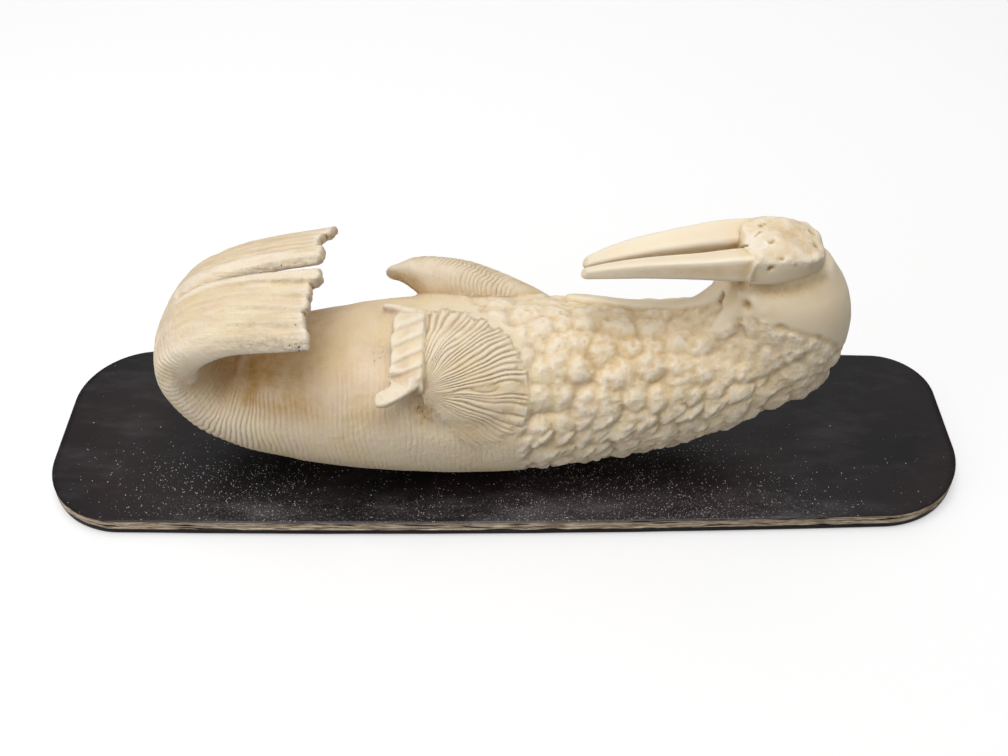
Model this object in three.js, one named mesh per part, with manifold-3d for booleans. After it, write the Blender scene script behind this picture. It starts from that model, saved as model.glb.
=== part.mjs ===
// A walrus carved in one piece of ivory, lying on its back on a thin black base plate.
// Millimetres, +Z up, +X towards the head, -Y towards the side that is seen first.
// The origin is at the centre of the base plate's underside.
import * as THREE from "three";
import { ParametricGeometry } from "three/addons/geometries/ParametricGeometry.js";
import { mergeVertices } from "three/addons/utils/BufferGeometryUtils.js";
import Module from "manifold-3d";

// Base plate
const BASE_LENGTH = 228;
const BASE_DEPTH_TAIL_END = 59.5;
const BASE_DEPTH_HEAD_END = 56;
const BASE_THICKNESS = 5;
const BASE_SIDE_BOW = 1.2; // how far the middle of each long side stands out
const BASE_EDGE_BEVEL = 0.6;
const CORNER_FRONT_TAIL = 20;
const CORNER_FRONT_HEAD = 22.5;
const CORNER_BACK_HEAD = 14.5;
const CORNER_BACK_TAIL = 19;

// Carving
const CARVING_LENGTH = 162; // outside of the tail's curl to the back of the head
const CARVING_OFFSET_Y = -4; // its middle plane lies in front of the plate's centre line
const SEAT_DEPTH = 0.35; // how far its rounded back is worn flat where it rests

// The free form below is drawn for a carving 162 long, up from the plate's top face and to both
// sides of the carving's middle plane. It keeps those proportions at any other length.
const DRAWN_LENGTH = 162;

// Relief of the hide
const NODULE_HEIGHT = 1.2; // pebbled hide of chest and neck
const FLUTE_DEPTH = 0.5; // grooves across tail and flanks
const FOLD_COUNT = 9; // creases behind the near foreflipper
const FOLD_HALF_WIDTH = 0.9;
const FOLD_HEIGHT = 0.7;

// Facets along and around the body
const BODY_ROWS = 66;
const BODY_COLUMNS = 30;

const wasm = await Module();
wasm.setup();

const { lerp, clamp, smoothstep, degToRad } = THREE.MathUtils;

// A closed body whose surface is point(along, around, target). Both run from 0 to 1, and around
// comes back to where it began.
function closedBody(rows, columns, point) {
  const raw = new ParametricGeometry(
    (along, around, target) => point(clamp(along, 0, 1), around > 0.99999 ? 0 : around, target),
    rows,
    columns,
  );
  return solidOf(raw);
}

function solidOf(raw) {
  raw.deleteAttribute("normal");
  raw.deleteAttribute("uv");
  const merged = mergeVertices(raw, 1e-4);
  const corners = merged.index.array;
  const inward = [];
  const outward = [];
  for (let i = 0; i < corners.length; i += 3) {
    const [a, b, c] = [corners[i], corners[i + 1], corners[i + 2]];
    if (a === b || b === c || c === a) continue;
    outward.push(a, b, c);
    inward.push(a, c, b);
  }
  const vertProperties = Float32Array.from(merged.attributes.position.array);
  const build = (triangles) =>
    new wasm.Manifold(
      new wasm.Mesh({ numProp: 3, vertProperties, triVerts: Uint32Array.from(triangles) }),
    );
  const body = build(outward);
  return body.volume() > 0 ? body : build(inward);
}

function geometryOf(body) {
  const mesh = body.getMesh();
  const geometry = new THREE.BufferGeometry();
  geometry.setAttribute("position", new THREE.BufferAttribute(mesh.vertProperties, 3));
  geometry.setIndex(new THREE.BufferAttribute(mesh.triVerts, 1));
  geometry.computeVertexNormals();
  return geometry;
}

// Smooth values between stations: each row of numbers is one station.
function smoothTable(stations) {
  const width = stations[0].length;
  const curves = [];
  for (let first = 0; first < width; first += 3) {
    const points = stations.map(
      (row) => new THREE.Vector3(row[first], row[first + 1] ?? 0, row[first + 2] ?? 0),
    );
    curves.push(new THREE.CatmullRomCurve3(points, false, "catmullrom", 0.5));
  }
  return (t) => curves.flatMap((curve) => curve.getPoint(t).toArray()).slice(0, width);
}

// Share of the full section, from 0 at a rounded end to 1 where t reaches 1.
const roundEnd = (t) => Math.sqrt(Math.max(0, 1 - (1 - clamp(t, 0, 1)) ** 2));
const bothEnds = (along, startCap, endCap) => roundEnd(along / startCap) * roundEnd((1 - along) / endCap);
const signedPower = (value, power) => Math.sign(value) * Math.abs(value) ** power;

// Direction of a line in the middle plane, whose table begins with x and height.
const LINE_STEP = 1e-3;

function heading(table, along) {
  const [xBefore, zBefore] = table(Math.max(0, along - LINE_STEP));
  const [xAfter, zAfter] = table(Math.min(1, along + LINE_STEP));
  const run = Math.hypot(xAfter - xBefore, zAfter - zBefore);
  return [(xAfter - xBefore) / run, (zAfter - zBefore) / run];
}

// Same irregular number between 0 and 1 for the same pair of whole numbers.
function scatter(i, j) {
  const value = Math.sin(i * 127.1 + j * 311.7) * 43758.5453;
  return value - Math.floor(value);
}

// A body swept along a bent line in the carving's middle plane.
// Station: x, height, half thickness across the line, half width.
function sweptBody(stations, rows, columns, { startCap, endCap, relief = () => 0, boxiness = 1 }) {
  const table = smoothTable(stations);
  return closedBody(rows, columns, (along, around, target) => {
    const [x, z, thick, wide] = table(along);
    const [tangentX, tangentZ] = heading(table, along);
    const cap = bothEnds(along, startCap, endCap);
    const angle = around * 2 * Math.PI;
    const lift = relief(along, around, x) * cap;
    const across = signedPower(Math.cos(angle), boxiness) * (thick * cap + lift);
    const side = signedPower(Math.sin(angle), boxiness) * (wide * cap + lift);
    target.set(x - tangentZ * across, side, z + tangentX * across);
  });
}

// Torso and curled tail, from inside the hind flippers' root to the nape.
const BODY = [
  [-70.5, 47.5, 3, 13],
  [-74.2, 41, 5.4, 14.8],
  [-75.4, 32.5, 7, 14.6],
  [-69.5, 24, 10.3, 15],
  [-60.5, 20.8, 14, 16.4],
  [-50.1, 20.8, 17.9, 17.9],
  [-38, 20.9, 19.8, 19.8],
  [-25.8, 21.4, 21, 21],
  [-13.6, 21.5, 21.4, 21.4],
  [-1.5, 21.5, 21.2, 21.2],
  [10.6, 22.5, 20.7, 20.7],
  [22.7, 23.4, 19.6, 19.6],
  [34.6, 25.2, 18.2, 18.2],
  [46.3, 28.2, 16.6, 16.6],
  [57.3, 30.8, 14.2, 14.6],
  [68, 31.4, 10.6, 11.5],
  [78, 31, 6, 7],
];

const NODULES_FROM_X = 8;
const NODULES_FADE = 5;
const FLUTES_UP_TO_X = -32;
const FLUTES_FADE = 10;

function hide(along, around, x) {
  const row = Math.round(along * BODY_ROWS);
  const column = Math.round(around * BODY_COLUMNS);
  const back = -Math.cos(around * 2 * Math.PI); // -1 on the upturned belly, 1 on the back
  if (x < FLUTES_UP_TO_X) {
    const fade = 1 - smoothstep(x, FLUTES_UP_TO_X - FLUTES_FADE, FLUTES_UP_TO_X);
    return row % 2 ? 0 : -FLUTE_DEPTH * fade * smoothstep(back, -0.5, 0.2);
  }
  const alongChest = smoothstep(x, NODULES_FROM_X, NODULES_FROM_X + NODULES_FADE);
  const coat = NODULE_HEIGHT * alongChest * smoothstep(back, -0.95, -0.8);
  const raised = row % 2 === 0 && (column + row / 2) % 2 === 0;
  return coat * (raised ? 0.25 + 0.5 * scatter(row, column) : -0.3);
}

function bodyAndTail() {
  return sweptBody(BODY, BODY_ROWS, BODY_COLUMNS, { startCap: 0.03, endCap: 0.05, relief: hide });
}

// Hind flippers: two sheets of five digits, which turn over the belly with the tail.
// Station: x, height, half thickness, width from the middle plane, droop of the outer edge.
const DIGITS = 5;
const HIND_FLIPPER = [
  [-75.6, 34, 5, 13.5, 0.5],
  [-75.2, 40.5, 4.6, 15, 2.2],
  [-71.5, 47.5, 3.6, 16.5, 4.5],
  [-64.5, 52.5, 2.6, 17.5, 6.5],
  [-54, 55.8, 2, 19, 8],
  [-43, 57.6, 1.7, 20.3, 8.5],
];
// The near flipper is narrower and hangs, and the far one lies flatter.
const NEAR_FLIPPER = { side: -1, spread: 0.92, droop: 0.88, outerReach: 0.5 };
const FAR_FLIPPER = { side: 1, spread: 1, droop: 0.45, outerReach: 2.8 };
const INNER_REACH = 2; // how far the innermost digit runs past the ends of the line
const MIDDLE_REACH = -0.8;
const SLIT_START = 0.38; // share of the flipper's length, from where the two are apart
const SLIT_HALF_WIDTH = 1.3;
const SLIT_OVERLAP = 1; // how far they run into each other before it
const NOTCH_DEPTH = 1.8;
const DIGIT_RELIEF = 0.5;
const BLUNT_FROM = 0.97; // share of the rows, beyond which the end is closed flat

// Place across one digit, from -1 to 1, and the digit's number.
function digitAt(across, count) {
  const digit = Math.min(count - 1, Math.floor(across * count + 1e-6));
  return [digit, (across * count - digit) * 2 - 1];
}

function hindFlipper({ side, spread, droop, outerReach }) {
  const table = smoothTable(HIND_FLIPPER);
  const reaches = [INNER_REACH, MIDDLE_REACH, MIDDLE_REACH, MIDDLE_REACH, outerReach];
  return closedBody(11, 8 * DIGITS, (row, around, target) => {
    const along = Math.min(1, row / BLUNT_FROM);
    const [x, z, thick, tableWidth, tableDroop] = table(along);
    const [tangentX, tangentZ] = heading(table, along);
    const parted = smoothstep(along, 0.2, 0.8);
    const wide = tableWidth * lerp(1, spread, parted);
    const top = around < 0.5;
    const across = top ? around * 2 : 2 - around * 2;
    const [digit, within] = digitAt(across, DIGITS);
    const cap = row > BLUNT_FROM ? 0 : roundEnd(along / 0.04);
    const rim = Math.sqrt(1 - Math.abs(across * 2 - 1) ** 5);
    const slit = along < SLIT_START ? -SLIT_OVERLAP : SLIT_HALF_WIDTH * smoothstep(along, SLIT_START, 1);
    const out = lerp(slit, wide, across);
    const ridge = top ? DIGIT_RELIEF * (1 - within ** 2) * smoothstep(along, 0.4, 0.8) : 0;
    const sag = tableDroop * lerp(1, droop, parted) * (out / wide) ** 2;
    const lift = cap * ((top ? 1 : -1) * thick * rim + ridge) - sag;
    const forward = (reaches[digit] - NOTCH_DEPTH * within ** 4) * smoothstep(along, 0.6, 1);
    target.set(
      x - tangentZ * lift + tangentX * forward,
      side * out,
      z + tangentX * lift + tangentZ * forward,
    );
  });
}

// Head: an upright column with flat cheeks. Station: height, x, half length, half width.
const HEAD = [
  [24, 61, 8, 9],
  [30, 62.5, 12, 12],
  [35, 63.2, 14.2, 13.4],
  [41, 63.6, 14.8, 13.8],
  [48, 63.6, 14.2, 13.2],
  [55, 62.4, 12.8, 12],
  [61, 60.8, 11, 10.4],
  [66, 60, 9, 8],
];

function head() {
  const table = smoothTable(HEAD);
  return closedBody(11, 20, (along, around, target) => {
    const [z, x, long, wide] = table(along);
    const cap = bothEnds(along, 0.12, 0.12);
    const angle = around * 2 * Math.PI;
    target.set(x + long * cap * Math.cos(angle), wide * cap * Math.sin(angle), z);
  });
}

// Muzzle: the whisker pads, from the tusks' roots to the nose.
// Station: x, height, half height, half width.
const MUZZLE = [
  [48.8, 61.4, 4.8, 7.6],
  [53, 62, 5.3, 8.3],
  [59, 62.6, 5.4, 8.4],
  [65, 63, 4.6, 7.4],
  [69, 63, 3.3, 5.4],
  [71.2, 62.6, 2.6, 4.4],
];

function muzzle() {
  return sweptBody(MUZZLE, 10, 18, { startCap: 0.14, endCap: 0.2, boxiness: 0.75 });
}

// Throat: the skin that rises from the chest to the chin under the tusks.
const THROAT = [
  [30, 34, 6, 8],
  [40, 37, 6.5, 8.5],
  [48, 41.5, 6.5, 8.5],
  [53, 49, 6, 8],
  [56, 58, 5, 7],
];

function throat() {
  return sweptBody(THROAT, 7, 12, { startCap: 0.15, endCap: 0.15 });
}

// A tapering rod. Station: x, y, height, radius across, radius up.
function rod(stations, rows, columns, startCap, endCap) {
  const table = smoothTable(stations);
  return closedBody(rows, columns, (along, around, target) => {
    const [x, y, z, across, up] = table(along);
    const cap = bothEnds(along, startCap, endCap);
    const angle = around * 2 * Math.PI;
    target.set(x, y + across * cap * Math.cos(angle), z + up * cap * Math.sin(angle));
  });
}

const TUSK_NEAR = [
  [17.4, -2, 57.9, 1.1, 1],
  [23, -3, 59.6, 1.7, 1.5],
  [31, -4, 61.2, 2.1, 1.9],
  [42, -4.6, 62.2, 2.6, 2.3],
  [54, -5.2, 62.4, 3, 2.7],
];
const TUSK_FAR = [
  [17.8, 2, 57.6, 1.2, 1.1],
  [23, 2.5, 59.3, 2, 1.8],
  [31, 3.2, 61, 2.6, 2.3],
  [42, 4.2, 62.4, 3.1, 2.9],
  [54, 5.2, 62.8, 3.4, 3.3],
];

// Near foreflipper, folded on the belly: a thin palm from the belly's top outwards, and a thick
// outer digit that stands clear of the flank.
// Station of the palm, from its inner to its outer edge: y, height.
const PALM = [
  [1.5, 43.6],
  [-4.5, 43.4],
  [-11, 41.8],
  [-17, 39.6],
  [-21.5, 37.2],
];
const PALM_TIP_X = -27.5;
const PALM_LENGTH = 11;
const PALM_HALF_THICKNESS = 1.5;
const PALM_ROOT_DEPTH = 2; // how many times deeper its underside reaches, into the belly
const PALM_RIDGES = 5;
const PALM_RIDGE_HEIGHT = 0.5;
const PALM_NOTCH_DEPTH = 1.2;

function nearPalm() {
  const arc = smoothTable(PALM);
  return closedBody(5, 8 * PALM_RIDGES, (along, around, target) => {
    const top = around < 0.5;
    const across = top ? around * 2 : 2 - around * 2;
    const [y, z] = arc(across);
    const [, within] = digitAt(across, PALM_RIDGES);
    const rim = Math.sqrt(1 - Math.abs(across * 2 - 1) ** 6);
    const cap = bothEnds(along, 0.08, 0.1);
    const ridge = top ? PALM_RIDGE_HEIGHT * (1 - within ** 2) * (1 - along) : 0;
    const sheet = (top ? 1 : -PALM_ROOT_DEPTH) * PALM_HALF_THICKNESS * rim;
    const notch = PALM_NOTCH_DEPTH * within ** 2 * (1 - along);
    target.set(PALM_TIP_X + along * PALM_LENGTH + notch, y, z + cap * (sheet + ridge));
  });
}

const OUTER_DIGIT = [
  [-29, -20.4, 36.4, 1.5, 1.4],
  [-25, -20.6, 37.2, 2.2, 1.9],
  [-19, -19.8, 38.4, 2.9, 2.3],
  [-13, -18.2, 38.2, 3.2, 2.4],
  [-4, -15, 35.5, 3, 2.4],
];

// Far foreflipper: a blade that stands out from the belly and dies into the shoulder.
// Station: x, distance from the body's axis, half thickness, half width.
const FAR_BLADE = [
  [-29.4, 26.2, 1.4, 4],
  [-26, 26.8, 2.3, 6],
  [-22.5, 26.6, 4, 7.5],
  [-18, 25.2, 5.9, 8.5],
  [-10, 23.8, 6.3, 8.5],
  [-2, 21.5, 6, 7.5],
  [6, 18.5, 5.5, 6],
  [14, 15, 4.5, 4.5],
];
const FAR_BLADE_TURN = degToRad(50); // round the body from straight up, towards +Y
const BODY_AXIS_HEIGHT = 21.6;
const BODY_RADIUS = 21.1;

function farBlade() {
  const table = smoothTable(FAR_BLADE);
  const outY = Math.sin(FAR_BLADE_TURN);
  const outZ = Math.cos(FAR_BLADE_TURN);
  return closedBody(14, 14, (along, around, target) => {
    const [x, reach, thick, wide] = table(along);
    const cap = bothEnds(along, 0.08, 0.08);
    const angle = around * 2 * Math.PI;
    const out = reach + thick * cap * Math.cos(angle);
    const across = wide * cap * Math.sin(angle);
    target.set(x, out * outY - across * outZ, BODY_AXIS_HEIGHT + out * outZ + across * outY);
  });
}

// Folds of skin that fan out behind the near foreflipper, over the shoulder.
const FOLD_CENTRE_X = -15.5;
const FOLD_CENTRE_TURN = degToRad(-62); // round the body from straight up, towards -Y
const FOLD_INNER = 5;
const FOLD_OUTER = 25;
const FOLD_FIRST = degToRad(97); // from straight along +X, over the body's surface
const FOLD_LAST = degToRad(-22);
const FOLD_END_CAP = 0.3;

function shoulderFolds() {
  return Array.from({ length: FOLD_COUNT }, (_, k) => {
    const course = lerp(FOLD_FIRST, FOLD_LAST, k / (FOLD_COUNT - 1));
    return closedBody(5, 4, (along, around, target) => {
      const out = lerp(FOLD_INNER, FOLD_OUTER, along);
      const cap = bothEnds(along, FOLD_END_CAP, FOLD_END_CAP);
      const angle = around * 2 * Math.PI;
      const sideways = FOLD_HALF_WIDTH * (1 + along) * cap * Math.cos(angle);
      const x = FOLD_CENTRE_X + out * Math.cos(course) - sideways * Math.sin(course);
      const arc = out * Math.sin(course) + sideways * Math.cos(course);
      const turn = FOLD_CENTRE_TURN + arc / BODY_RADIUS;
      const reach = BODY_RADIUS + FOLD_HEIGHT * cap * (2 * Math.sin(angle) - 1);
      target.set(x, reach * Math.sin(turn), BODY_AXIS_HEIGHT + reach * Math.cos(turn));
    });
  });
}

// The whole carving, at its real size, resting with a small flat on the plate's top face.
function walrus() {
  const forms = [
    bodyAndTail(),
    hindFlipper(NEAR_FLIPPER),
    hindFlipper(FAR_FLIPPER),
    head(),
    muzzle(),
    throat(),
    rod(TUSK_NEAR, 12, 8, 0.08, 0.05),
    rod(TUSK_FAR, 12, 8, 0.08, 0.05),
    nearPalm(),
    rod(OUTER_DIGIT, 8, 8, 0.1, 0.15),
    farBlade(),
    ...shoulderFolds(),
  ];
  const whole = forms.reduce((sum, form) => sum.add(form)).scale(CARVING_LENGTH / DRAWN_LENGTH);
  const lowest = whole.boundingBox().min[2];
  const placed = whole.translate([0, CARVING_OFFSET_Y, BASE_THICKNESS - lowest - SEAT_DEPTH]);
  const abovePlate = new THREE.BoxGeometry(2 * CARVING_LENGTH, CARVING_LENGTH, CARVING_LENGTH);
  abovePlate.translate(0, CARVING_OFFSET_Y, BASE_THICKNESS + CARVING_LENGTH / 2);
  return geometryOf(placed.intersect(solidOf(abovePlate)));
}

// Base plate: a rounded board, a little deeper at the tail end.
function plateOutline() {
  const tailX = -BASE_LENGTH / 2;
  const headX = BASE_LENGTH / 2;
  const tailY = BASE_DEPTH_TAIL_END / 2;
  const headY = BASE_DEPTH_HEAD_END / 2;
  const bowY = (tailY + headY) / 2 + 2 * BASE_SIDE_BOW;
  const quarter = Math.PI / 2;
  const outline = new THREE.Shape();
  const corner = (x, y, radius, from) => outline.absarc(x, y, radius, from, from + quarter);
  outline.moveTo(tailX + CORNER_FRONT_TAIL, -tailY);
  outline.quadraticCurveTo(0, -bowY, headX - CORNER_FRONT_HEAD, -headY);
  corner(headX - CORNER_FRONT_HEAD, -headY + CORNER_FRONT_HEAD, CORNER_FRONT_HEAD, -quarter);
  corner(headX - CORNER_BACK_HEAD, headY - CORNER_BACK_HEAD, CORNER_BACK_HEAD, 0);
  outline.quadraticCurveTo(0, bowY, tailX + CORNER_BACK_TAIL, tailY);
  corner(tailX + CORNER_BACK_TAIL, tailY - CORNER_BACK_TAIL, CORNER_BACK_TAIL, quarter);
  corner(tailX + CORNER_FRONT_TAIL, -tailY + CORNER_FRONT_TAIL, CORNER_FRONT_TAIL, 2 * quarter);
  return outline;
}

function board() {
  const geometry = new THREE.ExtrudeGeometry(plateOutline(), {
    depth: BASE_THICKNESS - 2 * BASE_EDGE_BEVEL,
    curveSegments: 6,
    bevelThickness: BASE_EDGE_BEVEL,
    bevelSize: BASE_EDGE_BEVEL,
    bevelOffset: -BASE_EDGE_BEVEL,
    bevelSegments: 1,
  });
  geometry.translate(0, 0, BASE_EDGE_BEVEL);
  return geometry;
}

const ivory = new THREE.MeshStandardMaterial({ color: "#e6d6ba", roughness: 0.55, metalness: 0 });
const blackBoard = new THREE.MeshStandardMaterial({ color: "#1d181c", roughness: 0.4, metalness: 0 });

const group = new THREE.Group();

const boardMesh = new THREE.Mesh(board(), blackBoard);
boardMesh.name = "board";
group.add(boardMesh);

const walrusMesh = new THREE.Mesh(walrus(), ivory);
walrusMesh.name = "walrus";
group.add(walrusMesh);

export default group;
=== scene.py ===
"""A walrus carved in one piece of walrus ivory, lying on its back on a black base board.

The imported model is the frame. This script carves the fine relief on a copy of its free form,
builds the worn base board with its dust and splinters, and sets up a plain pale stage.
Free-form sizes are in millimetres, up from the board's top face and to both sides of the
carving's middle plane. Blender's objects are in metres.
"""

import itertools
import math

import bmesh
import bpy
import numpy as np
from bpy.props import FloatProperty, FloatVectorProperty, IntProperty, PointerProperty
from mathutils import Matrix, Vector


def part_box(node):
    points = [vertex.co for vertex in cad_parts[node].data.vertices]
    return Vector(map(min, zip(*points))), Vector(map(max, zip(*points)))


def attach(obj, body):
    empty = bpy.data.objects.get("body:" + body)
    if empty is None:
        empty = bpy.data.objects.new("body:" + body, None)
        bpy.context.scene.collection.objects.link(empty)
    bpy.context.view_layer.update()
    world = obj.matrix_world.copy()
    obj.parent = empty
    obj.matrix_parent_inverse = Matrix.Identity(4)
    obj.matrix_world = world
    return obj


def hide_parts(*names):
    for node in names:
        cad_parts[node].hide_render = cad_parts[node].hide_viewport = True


bl_info = {
    "name": "Ivory walrus carving",
    "version": (1, 0, 0),
    "blender": (4, 5, 0),
    "location": "3D View > Sidebar > Carving",
    "description": "Carves the walrus, builds its worn base board and sets a plain stage",
    "category": "Object",
}

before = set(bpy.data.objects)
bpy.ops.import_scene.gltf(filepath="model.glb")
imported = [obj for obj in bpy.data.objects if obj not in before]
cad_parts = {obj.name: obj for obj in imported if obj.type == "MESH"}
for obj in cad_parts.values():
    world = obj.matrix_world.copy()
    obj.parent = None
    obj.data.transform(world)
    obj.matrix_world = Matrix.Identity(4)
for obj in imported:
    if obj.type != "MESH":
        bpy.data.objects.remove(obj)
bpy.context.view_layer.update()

MM = 0.001
BOARD_LOW, BOARD_HIGH = (np.array(corner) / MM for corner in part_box("board"))

# Where the free form stands in the frame
CARVING_OFFSET_Y = -4.0
SEAT = 0.45  # height in the free form at which its back is worn flat on the board


def linear(hex_colour):
    """The linear colour of an sRGB hex value."""
    channels = [int(hex_colour[k : k + 2], 16) / 255 for k in (1, 3, 5)]
    return [c / 12.92 if c <= 0.04045 else ((c + 0.055) / 1.055) ** 2.4 for c in channels]


def smoothstep(value, low, high):
    t = np.clip((value - low) / (high - low), 0, 1)
    return t * t * (3 - 2 * t)


def bell(distance, width):
    """1 at no distance, falling softly to nothing past about twice the width."""
    return np.exp(-((distance / width) ** 2))


def scatter(*whole, seed=0):
    """The same number from 0 to 1 for the same whole numbers."""
    n = np.int64(seed * 974711)
    for step, factor in zip(whole, (374761393, 668265263, 1103515245)):
        n = n + np.asarray(step, np.int64) * factor
    n = n & 0xFFFFFFFF
    n = ((n ^ (n >> 13)) * 1274126177) & 0xFFFFFFFF
    n = ((n ^ (n >> 16)) * 362437) & 0xFFFFFFFF
    return (n ^ (n >> 15)) / 4294967296.0


def noise(points, size, seed):
    """Soft noise from -1 to 1 over points, with lumps of about that size."""
    place = points / size
    base = np.floor(place).astype(np.int64)
    part = place - base
    part = part * part * (3 - 2 * part)
    total = np.zeros(len(points))
    for corner in itertools.product((0, 1), repeat=points.shape[1]):
        share = np.prod(np.where(corner, part, 1 - part), axis=1)
        total += share * scatter(*(base + corner).T, seed=seed)
    return 2 * total - 1


def rough_noise(points, size, seed, octaves=3):
    """Noise with finer lumps added, each half the size and height of the last."""
    return sum(noise(points, size / 2**k, seed + k) / 2**k for k in range(octaves))


# Free form


def smooth_table(stations):
    """Smooth values between stations, where each row of numbers is one station."""
    rows = np.array(stations, float)
    rows = np.vstack([2 * rows[0] - rows[1], rows, 2 * rows[-1] - rows[-2]])

    def at(along):
        place = np.clip(along, 0, 1) * (len(stations) - 1)
        first = np.minimum(place.astype(int), len(stations) - 2)
        w = (place - first)[..., None]
        before, a, b, after = (rows[first + k] for k in range(4))
        start, end = (b - before) / 2, (after - a) / 2
        bend = 3 * (b - a) - 2 * start - end
        value = a + w * (start + w * (bend + w * (2 * (a - b) + start + end)))
        return np.moveaxis(value, -1, 0)

    return at


def heading(table, along):
    """Direction in the middle plane of a line whose table begins with x and height."""
    step = 1e-3
    before = table(np.maximum(along - step, 0))
    after = table(np.minimum(along + step, 1))
    run = np.hypot(after[0] - before[0], after[1] - before[1])
    return (after[0] - before[0]) / run, (after[1] - before[1]) / run


def round_end(t):
    """Share of the full section, from 0 at a rounded end to 1 where t reaches 1."""
    return np.sqrt(np.maximum(0, 1 - (1 - np.clip(t, 0, 1)) ** 2))


def both_ends(along, start_cap, end_cap):
    return round_end(along / start_cap) * round_end((1 - along) / end_cap)


def signed_power(value, power):
    return np.sign(value) * np.abs(value) ** power


def ring_quads(rows, columns):
    """Quads between rings of points, each of which closes on itself."""
    row, column = np.meshgrid(np.arange(rows), np.arange(columns), indexing="ij")
    here, beside = row * columns + column, row * columns + (column + 1) % columns
    return np.stack([here, beside, beside + columns, here + columns], axis=-1).reshape(-1, 4)


def closed_body(rows, columns, point):
    """Points and quads of a closed body, whose surface is point(along, around)."""
    along = np.linspace(0, 1, rows + 1)[:, None]
    around = (np.arange(columns) / columns)[None, :]
    x, y, z = np.broadcast_arrays(*point(along, around))
    return np.stack([x, y, z], axis=-1).reshape(-1, 3), ring_quads(rows, columns)


def swept_body(stations, rows, columns, caps, boxiness=1.0, dish=None):
    """A body along a bent line in the middle plane.
    Station: x, height, half thickness across the line, half width."""
    table = smooth_table(stations)

    def point(along, around):
        x, z, thick, wide = table(along)
        tangent_x, tangent_z = heading(table, along)
        cap = both_ends(along, *caps)
        angle = around * 2 * math.pi
        across = signed_power(np.cos(angle), boxiness) * thick * cap
        side = signed_power(np.sin(angle), boxiness) * wide * cap
        if dish is not None:
            across = across - dish(x, across / thick)
        return x - tangent_z * across, side, z + tangent_x * across

    return closed_body(rows, columns, point)


BODY = [
    [-70.5, 47.5, 3, 13],
    [-74.2, 41, 5.4, 14.8],
    [-75.4, 32.5, 7, 14.6],
    [-69.5, 24, 10.3, 15],
    [-60.5, 20.8, 14, 16.4],
    [-50.1, 20.8, 17.9, 17.9],
    [-38, 20.9, 19.8, 19.8],
    [-25.8, 21.4, 21, 21],
    [-13.6, 21.5, 21.4, 21.4],
    [-1.5, 21.5, 21.2, 21.2],
    [10.6, 22.5, 20.7, 20.7],
    [22.7, 23.4, 19.6, 19.6],
    [34.6, 25.2, 18.2, 18.2],
    [46.3, 28.2, 16.6, 16.6],
    [57.3, 30.8, 14.2, 14.6],
    [68, 31.4, 10.6, 11.5],
    [78, 31, 6, 7],
]
BODY_AXIS = 21.6  # height of the trunk's axis

# Hind flippers: two sheets of five digits, which turn over the belly with the tail.
# Station: x, height, half thickness, width from the middle plane, droop of the outer edge.
DIGITS = 5
HIND_FLIPPER = [
    [-75.6, 34, 5, 13.5, 0.5],
    [-75.2, 40.5, 4.6, 15, 2.2],
    [-71.5, 47.5, 3.6, 16.5, 4.5],
    [-64.5, 52.5, 2.6, 17.5, 6.5],
    [-54, 55.9, 1.8, 19, 8],
    [-43, 57.9, 1.25, 20.3, 8.5],
]
# reaches: how far each digit, from the slit outwards, runs past the end of the line.
# borders: where the digits meet, from 0 at the slit to 1 at the outer edge.
NEAR_FLIPPER = dict(
    side=-1,
    spread=0.92,
    droop=0.88,
    reaches=[2.2, 0.1, -0.5, -1.3, -0.9],
    borders=[0, 0.22, 0.41, 0.59, 0.78, 1],
    seed=3,
)
FAR_FLIPPER = dict(
    side=1,
    spread=1.0,
    droop=0.64,
    reaches=[2, 0.5, 0.1, 0.5, 2.3],
    borders=[0, 0.3, 0.42, 0.53, 0.67, 1],
    seed=8,
)
SLIT_START = 0.38  # share of the flippers' length, from where the two are apart
BLUNT_FROM = 0.985  # share of the rows, beyond which the digits' ends are closed


def digit_at(across, borders):
    """The digit's number and the place across it, from -1 to 1."""
    borders = np.asarray(borders, float)
    digit = np.clip(np.searchsorted(borders, across, side="right") - 1, 0, len(borders) - 2)
    low, high = borders[digit], borders[digit + 1]
    return digit, 2 * (across - low) / (high - low) - 1


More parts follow.
